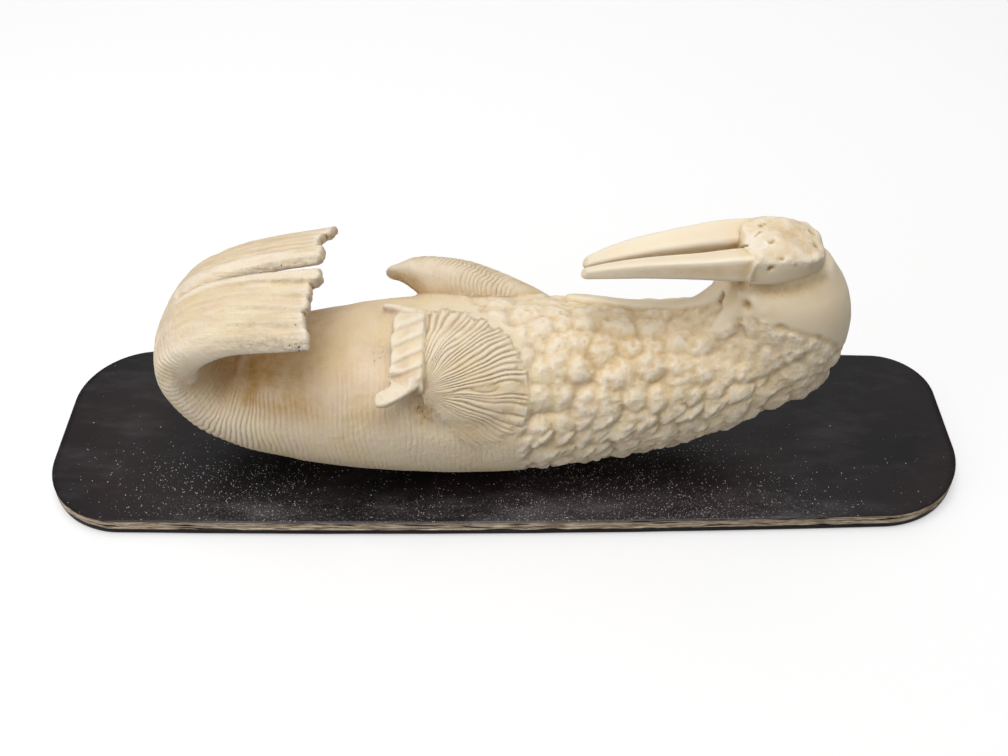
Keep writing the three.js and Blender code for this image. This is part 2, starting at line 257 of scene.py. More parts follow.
def hind_flipper(side, spread, droop, reaches, borders, seed):
    table = smooth_table(HIND_FLIPPER)
    reaches = np.array(reaches)

    def point(row, around):
        along = np.minimum(1, row / BLUNT_FROM)
        x, z, thick, table_width, table_droop = table(along)
        tangent_x, tangent_z = heading(table, along)
        parted = smoothstep(along, 0.2, 0.8)
        wide = table_width * (1 + (spread - 1) * parted)
        top = around < 0.5
        across = np.where(top, around * 2, 2 - around * 2)
        grid = np.stack(np.broadcast_arrays(along * 9, across * 6), -1).reshape(-1, 2)
        sway = noise(grid, 2.2, seed).reshape(np.broadcast(along, across).shape)
        swayed = np.clip(across + 0.035 * sway * smoothstep(along, 0.1, 0.9), 0, 1)
        digit, within = digit_at(swayed, borders)
        end = np.clip((row - BLUNT_FROM) / (1 - BLUNT_FROM), 0, 1)
        cap = round_end(along / 0.04) * np.sqrt(np.maximum(0, 1 - end**2))
        rim = np.sqrt(1 - np.abs(across * 2 - 1) ** 9)
        slit = 1.3 * smoothstep(along, SLIT_START, 1)
        slit = np.where(along < SLIT_START, -1.0, slit)
        out = slit + (wide - slit) * across
        first = (digit == 0) * smoothstep(along, 0.15, 0.7)
        fade = smoothstep(along, 0.35, 1.0)
        ridge = 0.16 * (1 - np.abs(within) ** 4) * (0.25 + 0.75 * fade)
        ridge = ridge + 0.5 * first * (1 - within**4)
        ridge = ridge - (0.06 + 0.14 * fade) * bell(np.abs(within) - 1, 0.11)
        fine = noise(grid * [1, 9], 1.0, seed + 5).reshape(sway.shape)
        facet = noise(grid * [1.4, 3], 1.5, seed + 7).reshape(sway.shape)
        ridge = ridge + (0.13 * fine + 0.14 * facet) * smoothstep(along, 0.1, 0.5)
        ridge = ridge * np.where(top, 1, 0.35)
        sag = table_droop * (1 + (droop - 1) * parted) * (out / wide) ** 2
        lift = cap * (np.where(top, 1, -1) * thick * rim + ridge * rim) - sag
        notch = 1.2 * np.abs(within) ** 6 + 0.22 * fine + 0.35 * facet
        forward = (reaches[digit] - notch + 0.5 * end) * smoothstep(along, 0.6, 1)
        return (
            x - tangent_z * lift + tangent_x * forward,
            side * out,
            z + tangent_x * lift + tangent_z * forward,
        )

    return closed_body(260, 80 * DIGITS, point)


# Head: an upright column with flat cheeks. Station: height, x, half length, half width.
HEAD = [
    [24, 61, 8, 9],
    [30, 62.5, 12, 12],
    [35, 63.2, 14.2, 13.4],
    [41, 63.6, 14.8, 13.8],
    [48, 63.6, 14.4, 13],
    [54, 62.8, 13.2, 11.4],
    [59, 61.4, 11.4, 8.4],
    [64, 60.4, 9.6, 7.2],
]


def head():
    table = smooth_table(HEAD)

    def point(along, around):
        z, x, long, wide = table(along)
        cap = both_ends(along, 0.12, 0.12)
        angle = around * 2 * math.pi
        return (
            x + long * cap * signed_power(np.cos(angle), 0.95),
            wide * cap * signed_power(np.sin(angle), 0.9),
            z,
        )

    return closed_body(90, 160, point)


# Muzzle: the whisker pads, from the tusks' roots to the nose.
# Station: x, height, half height, half width.
MUZZLE = [
    [50.9, 62.2, 3.8, 7.2],
    [53.8, 62.65, 4.4, 8.3],
    [58.5, 63.05, 4.45, 8.5],
    [63.4, 63.1, 3.8, 7.6],
    [67, 62.9, 2.8, 5.8],
    [69.2, 62.4, 2.0, 4.3],
]

# Throat: the skin that rises from the chest to the chin under the tusks.
THROAT = [
    [30, 34, 6, 8],
    [40, 37, 6.5, 8.5],
    [48, 41.5, 6.5, 8.5],
    [53, 49, 6, 8],
    [56, 58, 5, 7],
]


def rod(stations, rows, columns, start_cap, end_cap, boxiness=1.0, tilt=0.0):
    """A tapering rod. Station: x, y, height, radius across, radius up."""
    table = smooth_table(stations)

    def point(along, around):
        x, y, z, across, up = table(along)
        cap = both_ends(along, start_cap, end_cap)
        angle = around * 2 * math.pi
        a = across * cap * signed_power(np.cos(angle), boxiness)
        b = up * cap * signed_power(np.sin(angle), boxiness)
        return (
            x,
            y + a * math.cos(tilt) - b * math.sin(tilt),
            z + a * math.sin(tilt) + b * math.cos(tilt),
        )

    return closed_body(rows, columns, point)


TUSK_NEAR = [
    [16.3, -1.9, 57.7, 1.1, 1],
    [23, -3, 59.6, 1.7, 1.5],
    [31, -4, 61.2, 2.1, 1.9],
    [42, -4.7, 62.2, 2.6, 2.4],
    [49, -5.0, 62.8, 3, 2.9],
    [56, -5.0, 63.4, 2.9, 3.0],
]
TUSK_FAR = [
    [16.9, 1.9, 57.4, 1.2, 1.1],
    [23, 2.5, 59.3, 2, 1.8],
    [31, 3.2, 61, 2.6, 2.3],
    [42, 4.2, 62.4, 3.1, 2.9],
    [49, 4.8, 62.9, 3.3, 3.2],
    [56, 5.2, 63.2, 3.0, 3.1],
]
TUSK_NEAR_TILT = -0.22
TUSK_FAR_TILT = math.radians(25)

# Near foreflipper, folded on the belly. Station of the palm, from its inner to its outer edge:
# y, height.
PALM = [
    [1.2, 43.0],
    [-4.3, 42.7],
    [-9.6, 41.6],
    [-14.6, 39.8],
    [-18.6, 37.7],
]
PALM_TIP_X = -26.2
PALM_LENGTH = 7.9
PALM_HALF_THICKNESS = 1.3
PALM_BORDERS = [0, 0.26, 0.47, 0.66, 0.84, 1]
PALM_REACHES = np.array([0.4, 0.1, 0.35, 0.0, 0.4])


def near_palm():
    arc = smooth_table(PALM)

    def point(along, around):
        top = around < 0.5
        across = np.where(top, around * 2, 2 - around * 2)
        slanted = np.clip(across + 0.17 * (along - 0.35), 0, 1)
        y, z = arc(across)
        digit, within = digit_at(slanted, PALM_BORDERS)
        rim = np.sqrt(1 - np.abs(across * 2 - 1) ** 12)
        cap = both_ends(along, 0.035, 0.1)
        saw = 0.75 * (within + 1) / 2 * (1 - smoothstep(within, 0.8, 1.0))
        hollow = 0.3 * bell(along - 0.45, 0.14) * bell(within + 0.1, 0.4)
        lift = np.where(top, saw - hollow, 0)
        sheet = np.where(top, PALM_HALF_THICKNESS, -2 * PALM_HALF_THICKNESS) * rim
        notch = 0.5 * within**6 + PALM_REACHES[digit]
        forward = notch * (1 - smoothstep(along, 0, 0.5))
        return PALM_TIP_X + along * PALM_LENGTH + forward, y, z + cap * (sheet + lift)

    return closed_body(90, 400, point)


OUTER_DIGIT = [
    [-29.2, -20.5, 36.6, 1.5, 1.0],
    [-27, -20.2, 37.2, 2.0, 1.3],
    [-24, -19.2, 38.1, 2.1, 1.4],
    [-21, -17.9, 38.9, 1.7, 1.2],
    [-18.6, -16.6, 39.2, 0.8, 0.6],
]
INNER_DIGIT = [
    [-28.8, 2.9, 43.6, 0.7, 1.0],
    [-26.5, 2.4, 43.2, 0.8, 2.0],
    [-22.8, 2.0, 42.6, 0.8, 1.8],
    [-19.2, 1.8, 42.3, 0.8, 1.1],
    [-16, 2.0, 41.8, 0.5, 0.5],
]
OUTER_DIGIT_TILT = 0.55
INNER_DIGIT_TILT = 0.15

# Blades that lie on the trunk. Station: x, distance from the trunk's axis, half thickness,
# half width. The turn is round the trunk from straight up, towards +Y.
FAR_BLADE = [
    [-29.4, 27.2, 1.3, 3.4],
    [-26, 27.3, 2.1, 5.4],
    [-22.5, 26.8, 3.9, 7.4],
    [-18, 25.2, 5.9, 8.5],
    [-10, 23.8, 6.3, 8.5],
    [-2, 21.5, 6, 7.5],
    [6, 18.5, 5.5, 6],
    [14, 15, 4.5, 4.5],
]
FAR_BLADE_TURN = math.radians(50)
NEAR_SHOULDER = [
    [-19.2, 16.0, 7.5, 11],
    [-15, 16.0, 8.0, 11.5],
    [-5, 15.8, 7.3, 11.5],
    [4, 15, 6.2, 10.5],
    [12, 14, 5, 9],
]
NEAR_SHOULDER_TURN = math.radians(-40)


def blade(stations, turn, caps, striae=0.0):
    table = smooth_table(stations)
    out_y, out_z = math.sin(turn), math.cos(turn)

    def point(along, around):
        x, reach, thick, wide = table(along)
        cap = both_ends(along, *caps)
        angle = around * 2 * math.pi
        across = wide * cap * np.sin(angle)
        bowed = x + 0.035 * (across + 3) ** 2
        grid = np.stack(np.broadcast_arrays(bowed * 0.25, across), -1).reshape(-1, 2)
        wobble = noise(grid, 2.5, 21).reshape(np.broadcast(bowed, across).shape)
        comb = np.abs(np.sin(math.pi * (bowed / 2.2 + 0.6 * wobble))) ** 0.6
        along_blade = smoothstep(x, -25, -20) * (1 - smoothstep(x, -1, 5))
        lumps = noise(grid * [2, 0.5], 1.6, 22).reshape(wobble.shape)
        ridge = striae * ((comb - 0.6) * along_blade * (0.8 + 0.5 * wobble) + 0.25 * lumps)
        out = reach + (thick + ridge) * cap * np.cos(angle)
        return x, out * out_y - across * out_z, BODY_AXIS + out * out_z + across * out_y

    return closed_body(240, 180, point)


def belly_dish(x, rise):
    """How far the belly is hollowed between the hind flippers and the foreflippers."""
    reach = smoothstep(x, -66, -56) * (1 - smoothstep(x, -44, -27))
    return 1.7 * reach * smoothstep(rise, 0.62, 1.0)


# Every form that is joined in the carving. Form numbers tell the surfaces apart afterwards.
(
    TRUNK,
    NEAR_HIND,
    FAR_HIND,
    SKULL,
    PADS,
    CHIN,
    TUSK_A,
    TUSK_B,
    PALM_FORM,
    OUTER,
    INNER,
    FAR_FORE,
    SHOULDER,
) = range(13)


def carving_forms():
    return [
        swept_body(BODY, 520, 240, (0.03, 0.05), dish=belly_dish),
        hind_flipper(**NEAR_FLIPPER),
        hind_flipper(**FAR_FLIPPER),
        head(),
        swept_body(MUZZLE, 90, 120, (0.14, 0.2), boxiness=0.5),
        swept_body(THROAT, 90, 90, (0.15, 0.15)),
        rod(TUSK_NEAR, 160, 72, 0.045, 0.05, boxiness=0.36, tilt=TUSK_NEAR_TILT),
        rod(TUSK_FAR, 160, 72, 0.045, 0.05, boxiness=0.46, tilt=TUSK_FAR_TILT),
        near_palm(),
        rod(OUTER_DIGIT, 120, 56, 0.06, 0.15, boxiness=0.5, tilt=OUTER_DIGIT_TILT),
        rod(INNER_DIGIT, 80, 40, 0.08, 0.2, boxiness=0.55, tilt=INNER_DIGIT_TILT),
        blade(FAR_BLADE, FAR_BLADE_TURN, (0.08, 0.08), striae=0.3),
        blade(NEAR_SHOULDER, NEAR_SHOULDER_TURN, (0.015, 0.3)),
    ]


# Meshes and numbers


def mesh_of(name, points, faces):
    """A mesh of points and faces, which all have the same number of corners."""
    mesh = bpy.data.meshes.new(name)
    mesh.vertices.add(len(points))
    mesh.vertices.foreach_set("co", np.asarray(points, np.float32).ravel())
    mesh.loops.add(faces.size)
    mesh.loops.foreach_set("vertex_index", faces.astype(np.int32).ravel())
    mesh.polygons.add(len(faces))
    starts = np.arange(0, faces.size, faces.shape[1], dtype=np.int32)
    mesh.polygons.foreach_set("loop_start", starts)
    mesh.update(calc_edges=True)
    return mesh


def object_of(mesh):
    piece = bpy.data.objects.new(mesh.name, mesh)
    bpy.context.scene.collection.objects.link(piece)
    return piece


def set_field(mesh, name, values):
    field = mesh.attributes.get(name) or mesh.attributes.new(name, "FLOAT", "POINT")
    field.data.foreach_set("value", np.asarray(values, np.float32))


def field_of(mesh, name):
    values = np.zeros(len(mesh.vertices), np.float32)
    mesh.attributes[name].data.foreach_get("value", values)
    return values.astype(float)


def points_of(mesh):
    values = np.zeros(len(mesh.vertices) * 3, np.float32)
    mesh.vertices.foreach_get("co", values)
    return values.reshape(-1, 3).astype(float)


def edges_of(mesh):
    values = np.zeros(len(mesh.edges) * 2, np.int32)
    mesh.edges.foreach_get("vertices", values)
    return values.reshape(-1, 2)


def normals_of(mesh):
    values = np.zeros(len(mesh.vertices) * 3, np.float32)
    mesh.vertex_normals.foreach_get("vector", values)
    return values.reshape(-1, 3).astype(float)


def set_points(mesh, points):
    mesh.vertices.foreach_set("co", np.asarray(points, np.float32).ravel())
    mesh.update()


def evaluated(piece, name):
    """A plain mesh of the object with its modifiers applied."""
    graph = bpy.context.evaluated_depsgraph_get()
    mesh = bpy.data.meshes.new_from_object(piece.evaluated_get(graph), depsgraph=graph)
    mesh.name = name
    return mesh


def with_modifier(piece, kind, name, **settings):
    """The mesh that one modifier with these settings makes. The object is removed."""
    modifier = piece.modifiers.new(kind.title(), kind)
    for setting, value in settings.items():
        setattr(modifier, setting, value)
    mesh = evaluated(piece, name)
    bpy.data.objects.remove(piece)
    return mesh


class Neighbours:
    """Averages over each point's neighbours in a mesh."""

    def __init__(self, edges, count):
        self.a, self.b = edges.T
        self.count = count
        ends = np.bincount(self.a, minlength=count) + np.bincount(self.b, minlength=count)
        self.share = 1 / np.maximum(ends, 1)

    def mean(self, values):
        if values.ndim > 1:
            return np.stack([self.mean(column) for column in values.T], axis=1)
        total = np.bincount(self.a, values[self.b], self.count)
        total += np.bincount(self.b, values[self.a], self.count)
        return total * self.share

    def soften(self, values, rounds, weight=0.8):
        weight = np.asarray(weight)
        weight = weight[:, None] if weight.ndim and values.ndim > 1 else weight
        for _ in range(rounds):
            values = values + weight * (self.mean(values) - values)
        return values


# Geometry Nodes


def add_node(tree, kind, links=None, **settings):
    """Adds a node. Settings that are inputs of the node are set on its sockets."""
    node = tree.nodes.new(kind)
    inputs = settings.pop("inputs", {})
    for setting, value in settings.items():
        setattr(node, setting, value)
    for socket, value in inputs.items():
        node.inputs[socket].default_value = value
    for socket, source in (links or {}).items():
        tree.links.new(source, node.inputs[socket])
    return node


def spread(tree, value, low, high, to_low=0.0, to_high=1.0):
    return add_node(
        tree,
        "ShaderNodeMapRange",
        {"Value": value},
        inputs={"From Min": low, "From Max": high, "To Min": to_low, "To Max": to_high},
    ).outputs["Result"]


def math_of(tree, operation, a, b):
    node = add_node(tree, "ShaderNodeMath", operation=operation)
    for socket, value in zip(node.inputs, (a, b)):
        if isinstance(value, (int, float)):
            socket.default_value = value
        else:
            tree.links.new(value, socket)
    return node.outputs[0]


def times(tree, a, b):
    return math_of(tree, "MULTIPLY", a, b)


def plus(tree, a, b):
    return math_of(tree, "ADD", a, b)


def carry_fields(source, target, names):
    """Copies fields from the nearest place on the source object to the target's points."""
    tree = bpy.data.node_groups.new("carry fields", "GeometryNodeTree")
    tree.interface.new_socket("Geometry", in_out="INPUT", socket_type="NodeSocketGeometry")
    tree.interface.new_socket("Source", in_out="INPUT", socket_type="NodeSocketObject")
    tree.interface.new_socket("Geometry", in_out="OUTPUT", socket_type="NodeSocketGeometry")
    given = add_node(tree, "NodeGroupInput")
    info = add_node(tree, "GeometryNodeObjectInfo", {"Object": given.outputs["Source"]})
    shape = given.outputs["Geometry"]
    for name in names:
        field = add_node(
            tree, "GeometryNodeInputNamedAttribute", data_type="FLOAT", inputs={"Name": name}
        )
        nearest = add_node(
            tree,
            "GeometryNodeSampleNearestSurface",
            {"Mesh": info.outputs["Geometry"], "Value": field.outputs["Attribute"]},
            data_type="FLOAT",
        )
        stored = add_node(
            tree,
            "GeometryNodeStoreNamedAttribute",
            {"Geometry": shape, "Value": nearest.outputs["Value"]},
            data_type="FLOAT",
            domain="POINT",
            inputs={"Name": name},
        )
        shape = stored.outputs["Geometry"]
    add_node(tree, "NodeGroupOutput", {"Geometry": shape})
    modifier = target.modifiers.new("Carry fields", "NODES")
    modifier.node_group = tree
    modifier[tree.interface.items_tree["Source"].identifier] = source
    mesh = evaluated(target, target.data.name)
    bpy.data.objects.remove(target)
    bpy.data.node_groups.remove(tree)
    return mesh


# Relief

VOXEL = 0.32
WANTED_TRIANGLES = 188000


def joined(forms):
    points, faces, form_numbers, first = [], [], [], 0
    for number, (form_points, form_faces) in enumerate(forms):
        points.append(form_points)
        faces.append(form_faces + first)
        form_numbers.append(np.full(len(form_points), float(number)))
        first += len(form_points)
    mesh = mesh_of("forms", np.vstack(points), np.vstack(faces))
    set_field(mesh, "form", np.concatenate(form_numbers))
    return mesh


def place_on_trunk(points):
    """Arc length along the trunk's bent line, offset towards the belly and x on the line."""
    table = smooth_table(BODY)
    line = table(np.linspace(0, 1, 1100))[:2].T
    steps = np.hypot(*np.diff(line, axis=0).T)
    arc = np.concatenate([[0], np.cumsum(steps)])
    tangent = np.gradient(line, axis=0)
    tangent /= np.hypot(*tangent.T)[:, None]
    flat = points[:, [0, 2]]
    nearest = np.empty(len(flat), int)
    for start in range(0, len(flat), 20000):
        part = flat[start : start + 20000]
        gap = (part[:, :1] - line[None, :, 0]) ** 2 + (part[:, 1:] - line[None, :, 1]) ** 2
        nearest[start : start + 20000] = gap.argmin(axis=1)
    away = flat - line[nearest]
    ahead = np.sum(away * tangent[nearest], axis=1)
    offset = away[:, 1] * tangent[nearest, 0] - away[:, 0] * tangent[nearest, 1]
    return arc[nearest] + ahead, offset, line[nearest, 0]


FOLD_CENTRE = (-69.3, 34.1)  # x and height about which the tail curls


def grooves(skin, sizes):
    """Cut grooves that cross the tail and flanks, wavering as a hand-held tool leaves them.
    Gives their running number, which is whole on a cut, and how strong they are."""
    arc, turn, x = skin.arc, skin.turn, skin.line_x
    sheet = np.stack([arc, turn * 14], axis=1)
    wobble = 0.34 * noise(sheet * [0.6, 1], 5, 31) + 0.2 * noise(sheet, 2.2, 32)
    rung = arc / sizes.groove_pitch + wobble + 0.05 * turn
    number = np.floor(rung)
    patch = 0.7 + 0.45 * noise(sheet, 4, 34) + 0.35 * noise(sheet * [0.5, 1], 2, 36)
    low_edge = 0.9 + 0.3 * (scatter(number, seed=35) - 0.5) - 0.4 * smoothstep(x, -45, -30)
    belly = smoothstep(np.abs(turn), low_edge - 0.15, low_edge + 0.25)
    curl = 1 - smoothstep(x, -71, -63)
    belly = belly + (1 - belly) * curl
    from_fold = np.linalg.norm(skin.points[:, [0, 2]] - FOLD_CENTRE, axis=1)
    inner = 0.35 + 0.65 * smoothstep(from_fold, 6, 14)
    fade = 1 - 0.7 * smoothstep(x, -66, -44) - 0.15 * smoothstep(x, -24, 0)
    coat = 1 - smoothstep(x, 1, 7)
    return rung, np.clip(patch, 0, 1.3) * belly * fade * coat * inner


def crest(rung):
    """Height over a run of ridges, from 0 in the cuts to 1 on the ridges between them."""
    return 1 - np.abs(2 * (rung - np.floor(rung)) - 1) ** 2.5


def pebbles(places, sharp, seed):
    """Height of a field of lumps, one in each unit cell of space. Where two lumps meet they
    leave a crease. Sharp ones are chiselled, with a ridge that slants up towards the head."""
    cell = np.floor(places)
    total = np.zeros(len(places))
    hardness = 9 + 13 * sharp
    ridge_way = np.array([0.62, 0.3, 0.72])
    steep_way = np.array([0.75, -0.1, -0.65])
    for step in itertools.product((-1, 0, 1), repeat=3):
        home = (cell + step).T
        chance = [scatter(*home, seed=seed + k) for k in range(8)]
        centre = home + 0.5 + 0.72 * (np.array(chance[:3]) - 0.5)
        away = places - centre.T
        square = np.sum(away * away, axis=1)
        tall = 0.78 + 0.44 * chance[3]
        dome = tall * (1 - square / (0.66 + 0.14 * chance[4]) ** 2)
        side = away @ steep_way - 0.12 + 0.3 * (chance[5] - 0.5) * (away @ ridge_way)
        length = away @ ridge_way
        ridge = np.where(side > 0, 2.6 * side, -1.1 * side) + 1.0 * length**2
        ridge = tall * (1.02 - ridge) - 0.8 * np.maximum(square - 0.35, 0)
        lump = dome + sharp * (ridge - dome)
        way = np.stack([chance[5], chance[6], chance[7]]).T - 0.5
        facet = 0.76 + 0.18 * chance[6] + 1.7 * np.sum(away * way, axis=1)
        lump = np.minimum(lump, tall * facet)
        total += np.exp(hardness * lump)
    return np.log(total) / hardness


def nodules(skin, sizes):
    """Pebbled hide: low rounded lumps near the chest, slanting chisel cuts on the flank."""
    points = skin.points
    sharp = smoothstep(np.abs(skin.turn), 0.95, 1.55) * (skin.spin < 0)
    sway = np.stack([noise(points, 6, 41 + k) for k in range(3)], axis=1)
    top = pebbles((points + 0.9 * sway) / sizes.nodule_size, sharp, 43)
    grains = rough_noise(points, 1.7, 46, 3) * (0.26 - 0.1 * sharp)
    height = sizes.nodule_height * (0.95 + 0.3 * sharp)
    return height * (top - 0.7 + grains)


FAN_X = -19.4
FAN_TURN = math.radians(-50)
FAN_RADIUS = 22  # mean distance of the shoulder's surface from the trunk's axis
FAN_FIRST, FAN_LAST = 103, -58  # degrees from straight along +X, over the trunk's surface


def fan_folds(skin, sizes):
    """Folds of skin that fan out behind the near foreflipper: their running number, how strong
    they are and the area that they cover."""
    away_x = skin.points[:, 0] - FAN_X
    away_up = FAN_RADIUS * (skin.spin - FAN_TURN)
    reach = np.hypot(away_x, away_up)
    bearing = np.degrees(np.arctan2(away_up, away_x))
    sheet = np.stack([reach, bearing * 0.3], axis=1)
    swayed = bearing + 2.2 * noise(sheet * [1, 0.6], 5, 81)
    swayed = swayed + 2.2 * noise(sheet * [0.05, 1], 2.2, 86)
    swayed = swayed + 5 * smoothstep(reach, 5, 22) * bell(bearing - 62, 28)
    rung = (swayed - FAN_LAST) / (FAN_FIRST - FAN_LAST) * sizes.fold_count
    rung = rung + 0.35 * noise(sheet * [0.3, 1], 2.4, 84)
    number = np.floor(rung)
    last = 24.6 + 2.2 * (scatter(number, seed=82) - 0.5) - 0.8 * smoothstep(bearing, 45, 80)
    last = last - 5 * smoothstep(-bearing, 26, 50)
    most = sizes.fold_count
    inside = smoothstep(rung, 0, 0.5) * (1 - smoothstep(rung, most - 0.3, most))
    window = smoothstep(reach, 0.6, 3.5) * (1 - smoothstep(reach, last - 2.6, last)) * inside
    window = window * (0.3 + 0.7 * smoothstep(bearing, -34, -24))
    strength = 0.55 + 0.5 * scatter(number, seed=83) + 0.35 * noise(sheet, 4, 85)
    skin.fan_area = (1 - smoothstep(reach, last - 1.5, last)) * inside
    skin.fan_reach = reach
    return rung, window * strength


def blade_striae(points):
    """Scored lines across the far foreflipper: their running number and how strong they are."""
    x, y, z = points.T
    across = (y - 18) * 0.75 - (z - 39) * 0.65
    bowed = x + 0.05 * (across + 2) ** 2
    sheet = np.stack([bowed * 0.3, across], axis=1)
    rung = bowed / 0.98 + 1.2 * noise(sheet, 3.5, 23) + 0.5 * noise(sheet, 1.3, 25)
    strength = smoothstep(x, -21, -16) * (1 - smoothstep(x, -3, 5))
    return rung, strength * np.clip(0.6 + 0.7 * noise(sheet, 2, 24), 0, 1.2)


# Small cuts and bumps. Each line is a path with its half width, its height, which is negative for a
# cut, and how much dark colour lies in it: dirt in the tusk's crack, painted shade in the other lines.
LINES = [
    # crack at the far tusk's root
    ([(50.6, -0.3, 63.4), (50.9, -1.6, 65.2), (51.6, -2.0, 66.2)], 0.28, -0.8, 1.0),
    ([(51.6, -2.0, 66.2), (53.2, -0.6, 67.0), (54.8, 0.9, 67.5)], 0.3, -0.3, 0.7),
    # edge of the near whisker pad
    ([(54.2, -6.6, 66.6), (52.6, -7.9, 64.6), (52.0, -8.3, 62.2), (52.6, -7.6, 58.2)], 0.5, 0.35, 0),
    # where the chest's rim turns in under the tusks, darkened with painted shade
    ([(47.7, -3.0, 50.8), (48.6, -2.6, 52.6)], 0.5, -0.9, 0.7),
    # smooth strip that runs down from the mouth
    ([(51.6, -6.2, 53.2), (48.8, -6.2, 49.6), (45.4, -8.8, 45.4)], 1.3, 0.1, 0),
    # hollow under the near whisker pad, darkened with painted shade
    ([(53.2, -8.0, 58.0), (58.6, -9.0, 58.4), (62.8, -8.6, 59.0), (69.4, -6, 60.6)], 1.5, -0.45, 0.3),
    # where the cheek stands proud of the pebbled neck, darkened with painted shade
    ([(57.5, -11.1, 51.2), (60.7, -12, 50.8), (64.2, -12, 49.6), (68.8, -12.1, 47.8)], 0.9, -0.3, 0.25),
    ([(68.8, -12.1, 47.8), (71.8, -11.3, 45.6), (74.4, -10, 43.0)], 0.9, -0.25, 0.25),
    # cut beside the palm, darkened with painted shade
    ([(-18.5, 3.0, 42.6), (-18.2, -8, 41.8), (-18.2, -13.5, 40.4)], 0.35, -0.35, 0.25),
]
STRIP = 4  # the line beside which the nodules stop
# Each mark is x, y, height, radius and how far it stands out, or is pressed in. Pressed-in marks are
# darkened: dirt in the pits and nostrils, painted shade in the hollows at the mouth and the armpit.
MARKS = [
    (56.6, -2.9, 67.6, 0.5, -0.6),
    (57.1, -2.4, 67.7, 0.4, -0.4),
    (56.2, -8.6, 64.8, 0.55, -0.65),
    (55.8, -8.7, 64.3, 0.45, -0.5),
    (58.4, -7.4, 66.5, 0.4, -0.4),
    (61.5, -8.2, 65.2, 0.4, -0.3),
    (55.4, 3.2, 67.4, 0.5, -0.4),
    (56.2, 3.6, 67.5, 0.4, -0.3),
    (66.8, -1.9, 66.3, 0.8, -0.8),
    (66.8, 2.4, 66.3, 0.8, -0.8),
    (66.0, -5.8, 65.2, 1.2, 0.5),
    (64.1, -7.0, 65.0, 0.9, 0.35),
    (66.0, 5.8, 65.2, 1.2, 0.5),
    # hollow at the mouth under the tusks, darkened with painted shade
    (51.2, -3.4, 57.4, 2.2, -0.9),
    (51.2, -6.0, 55.3, 1.1, 0.45),
    (53.9, -8.2, 55.7, 1.6, 0.35),
    (56.0, -9.8, 53.8, 1.4, 0.25),
    (52.8, -7.6, 53.8, 1.1, -0.75),
    # armpit under the outer digit, darkened with painted shade
    (-18.5, -19.0, 32.0, 3.6, -0.9),
    (-28.3, 1.6, 43.6, 0.5, -0.4),
]
# Knife cuts that leave a flat: the place, the way it faces and the radius that is cut
FLATS = [
    ((54.1, -2.0, 66.8), (-0.42, -0.1, 0.9), 3.2),
    ((-27.6, -21.2, 37.9), (-0.5, -0.3, 0.8), 1.6),
    ((-24.6, -19.6, 38.8), (-0.2, -0.3, 0.94), 4.6),
    ((16.9, -2.2, 58.2), (-0.8, -0.2, 0.55), 1.2),
    ((17.4, 1.8, 58.0), (-0.8, -0.2, 0.55), 1.2),
]
# The rolled rim of the smooth chest, seen as the top edge below the tusks
RIM = [
    (17, 11.4, 39.4),
    (26.8, 7.6, 41.6),
    (33.7, 6.0, 42.2),
    (38.6, 4.8, 43.2),
    (42.8, 4.2, 44.6),
    (45.4, 2.2, 47.6),
    (47.6, 0.2, 51.0),
    (48.8, -0.8, 53.6),
]

# The line on the neck, as x and height, above which the hide is smooth
NECK = [
    (45.5, 80),
    (47.5, 52),
    (50, 50.5),
    (51, 50.5),
    (52.4, 51.6),
    (55, 52.0),
    (60.7, 51.5),
    (64.2, 50.2),
    (68.8, 48.4),
    (74.2, 43.5),
    (78, 40),
]


def pared(points, centre, facing, radius):
    """Points with what stands out past a plane cut back to it, near the plane's centre."""
    facing = np.array(facing) / np.linalg.norm(facing)
    away = points - centre
    share = 1 - smoothstep(np.linalg.norm(away, axis=1), radius * 0.75, radius)
    above = np.maximum(away @ facing, 0)
    return points - (above * share)[:, None] * facing, share * (above > 0)


def distance_to_path(points, path):
    """How far each point is from a path of straight pieces."""
    path = np.array(path, float)
    best = np.full(len(points), 1e3)
    near = np.all((points > path.min(0) - 8) & (points < path.max(0) + 8), axis=1)
    part = points[near]
    gap = np.full(len(part), 1e3)
    for start, end in zip(path[:-1], path[1:]):
        course = end - start
        share = np.clip((part - start) @ course / (course @ course), 0, 1)
        gap = np.minimum(gap, np.linalg.norm(part - start - share[:, None] * course, axis=1))
    best[near] = gap
    return best


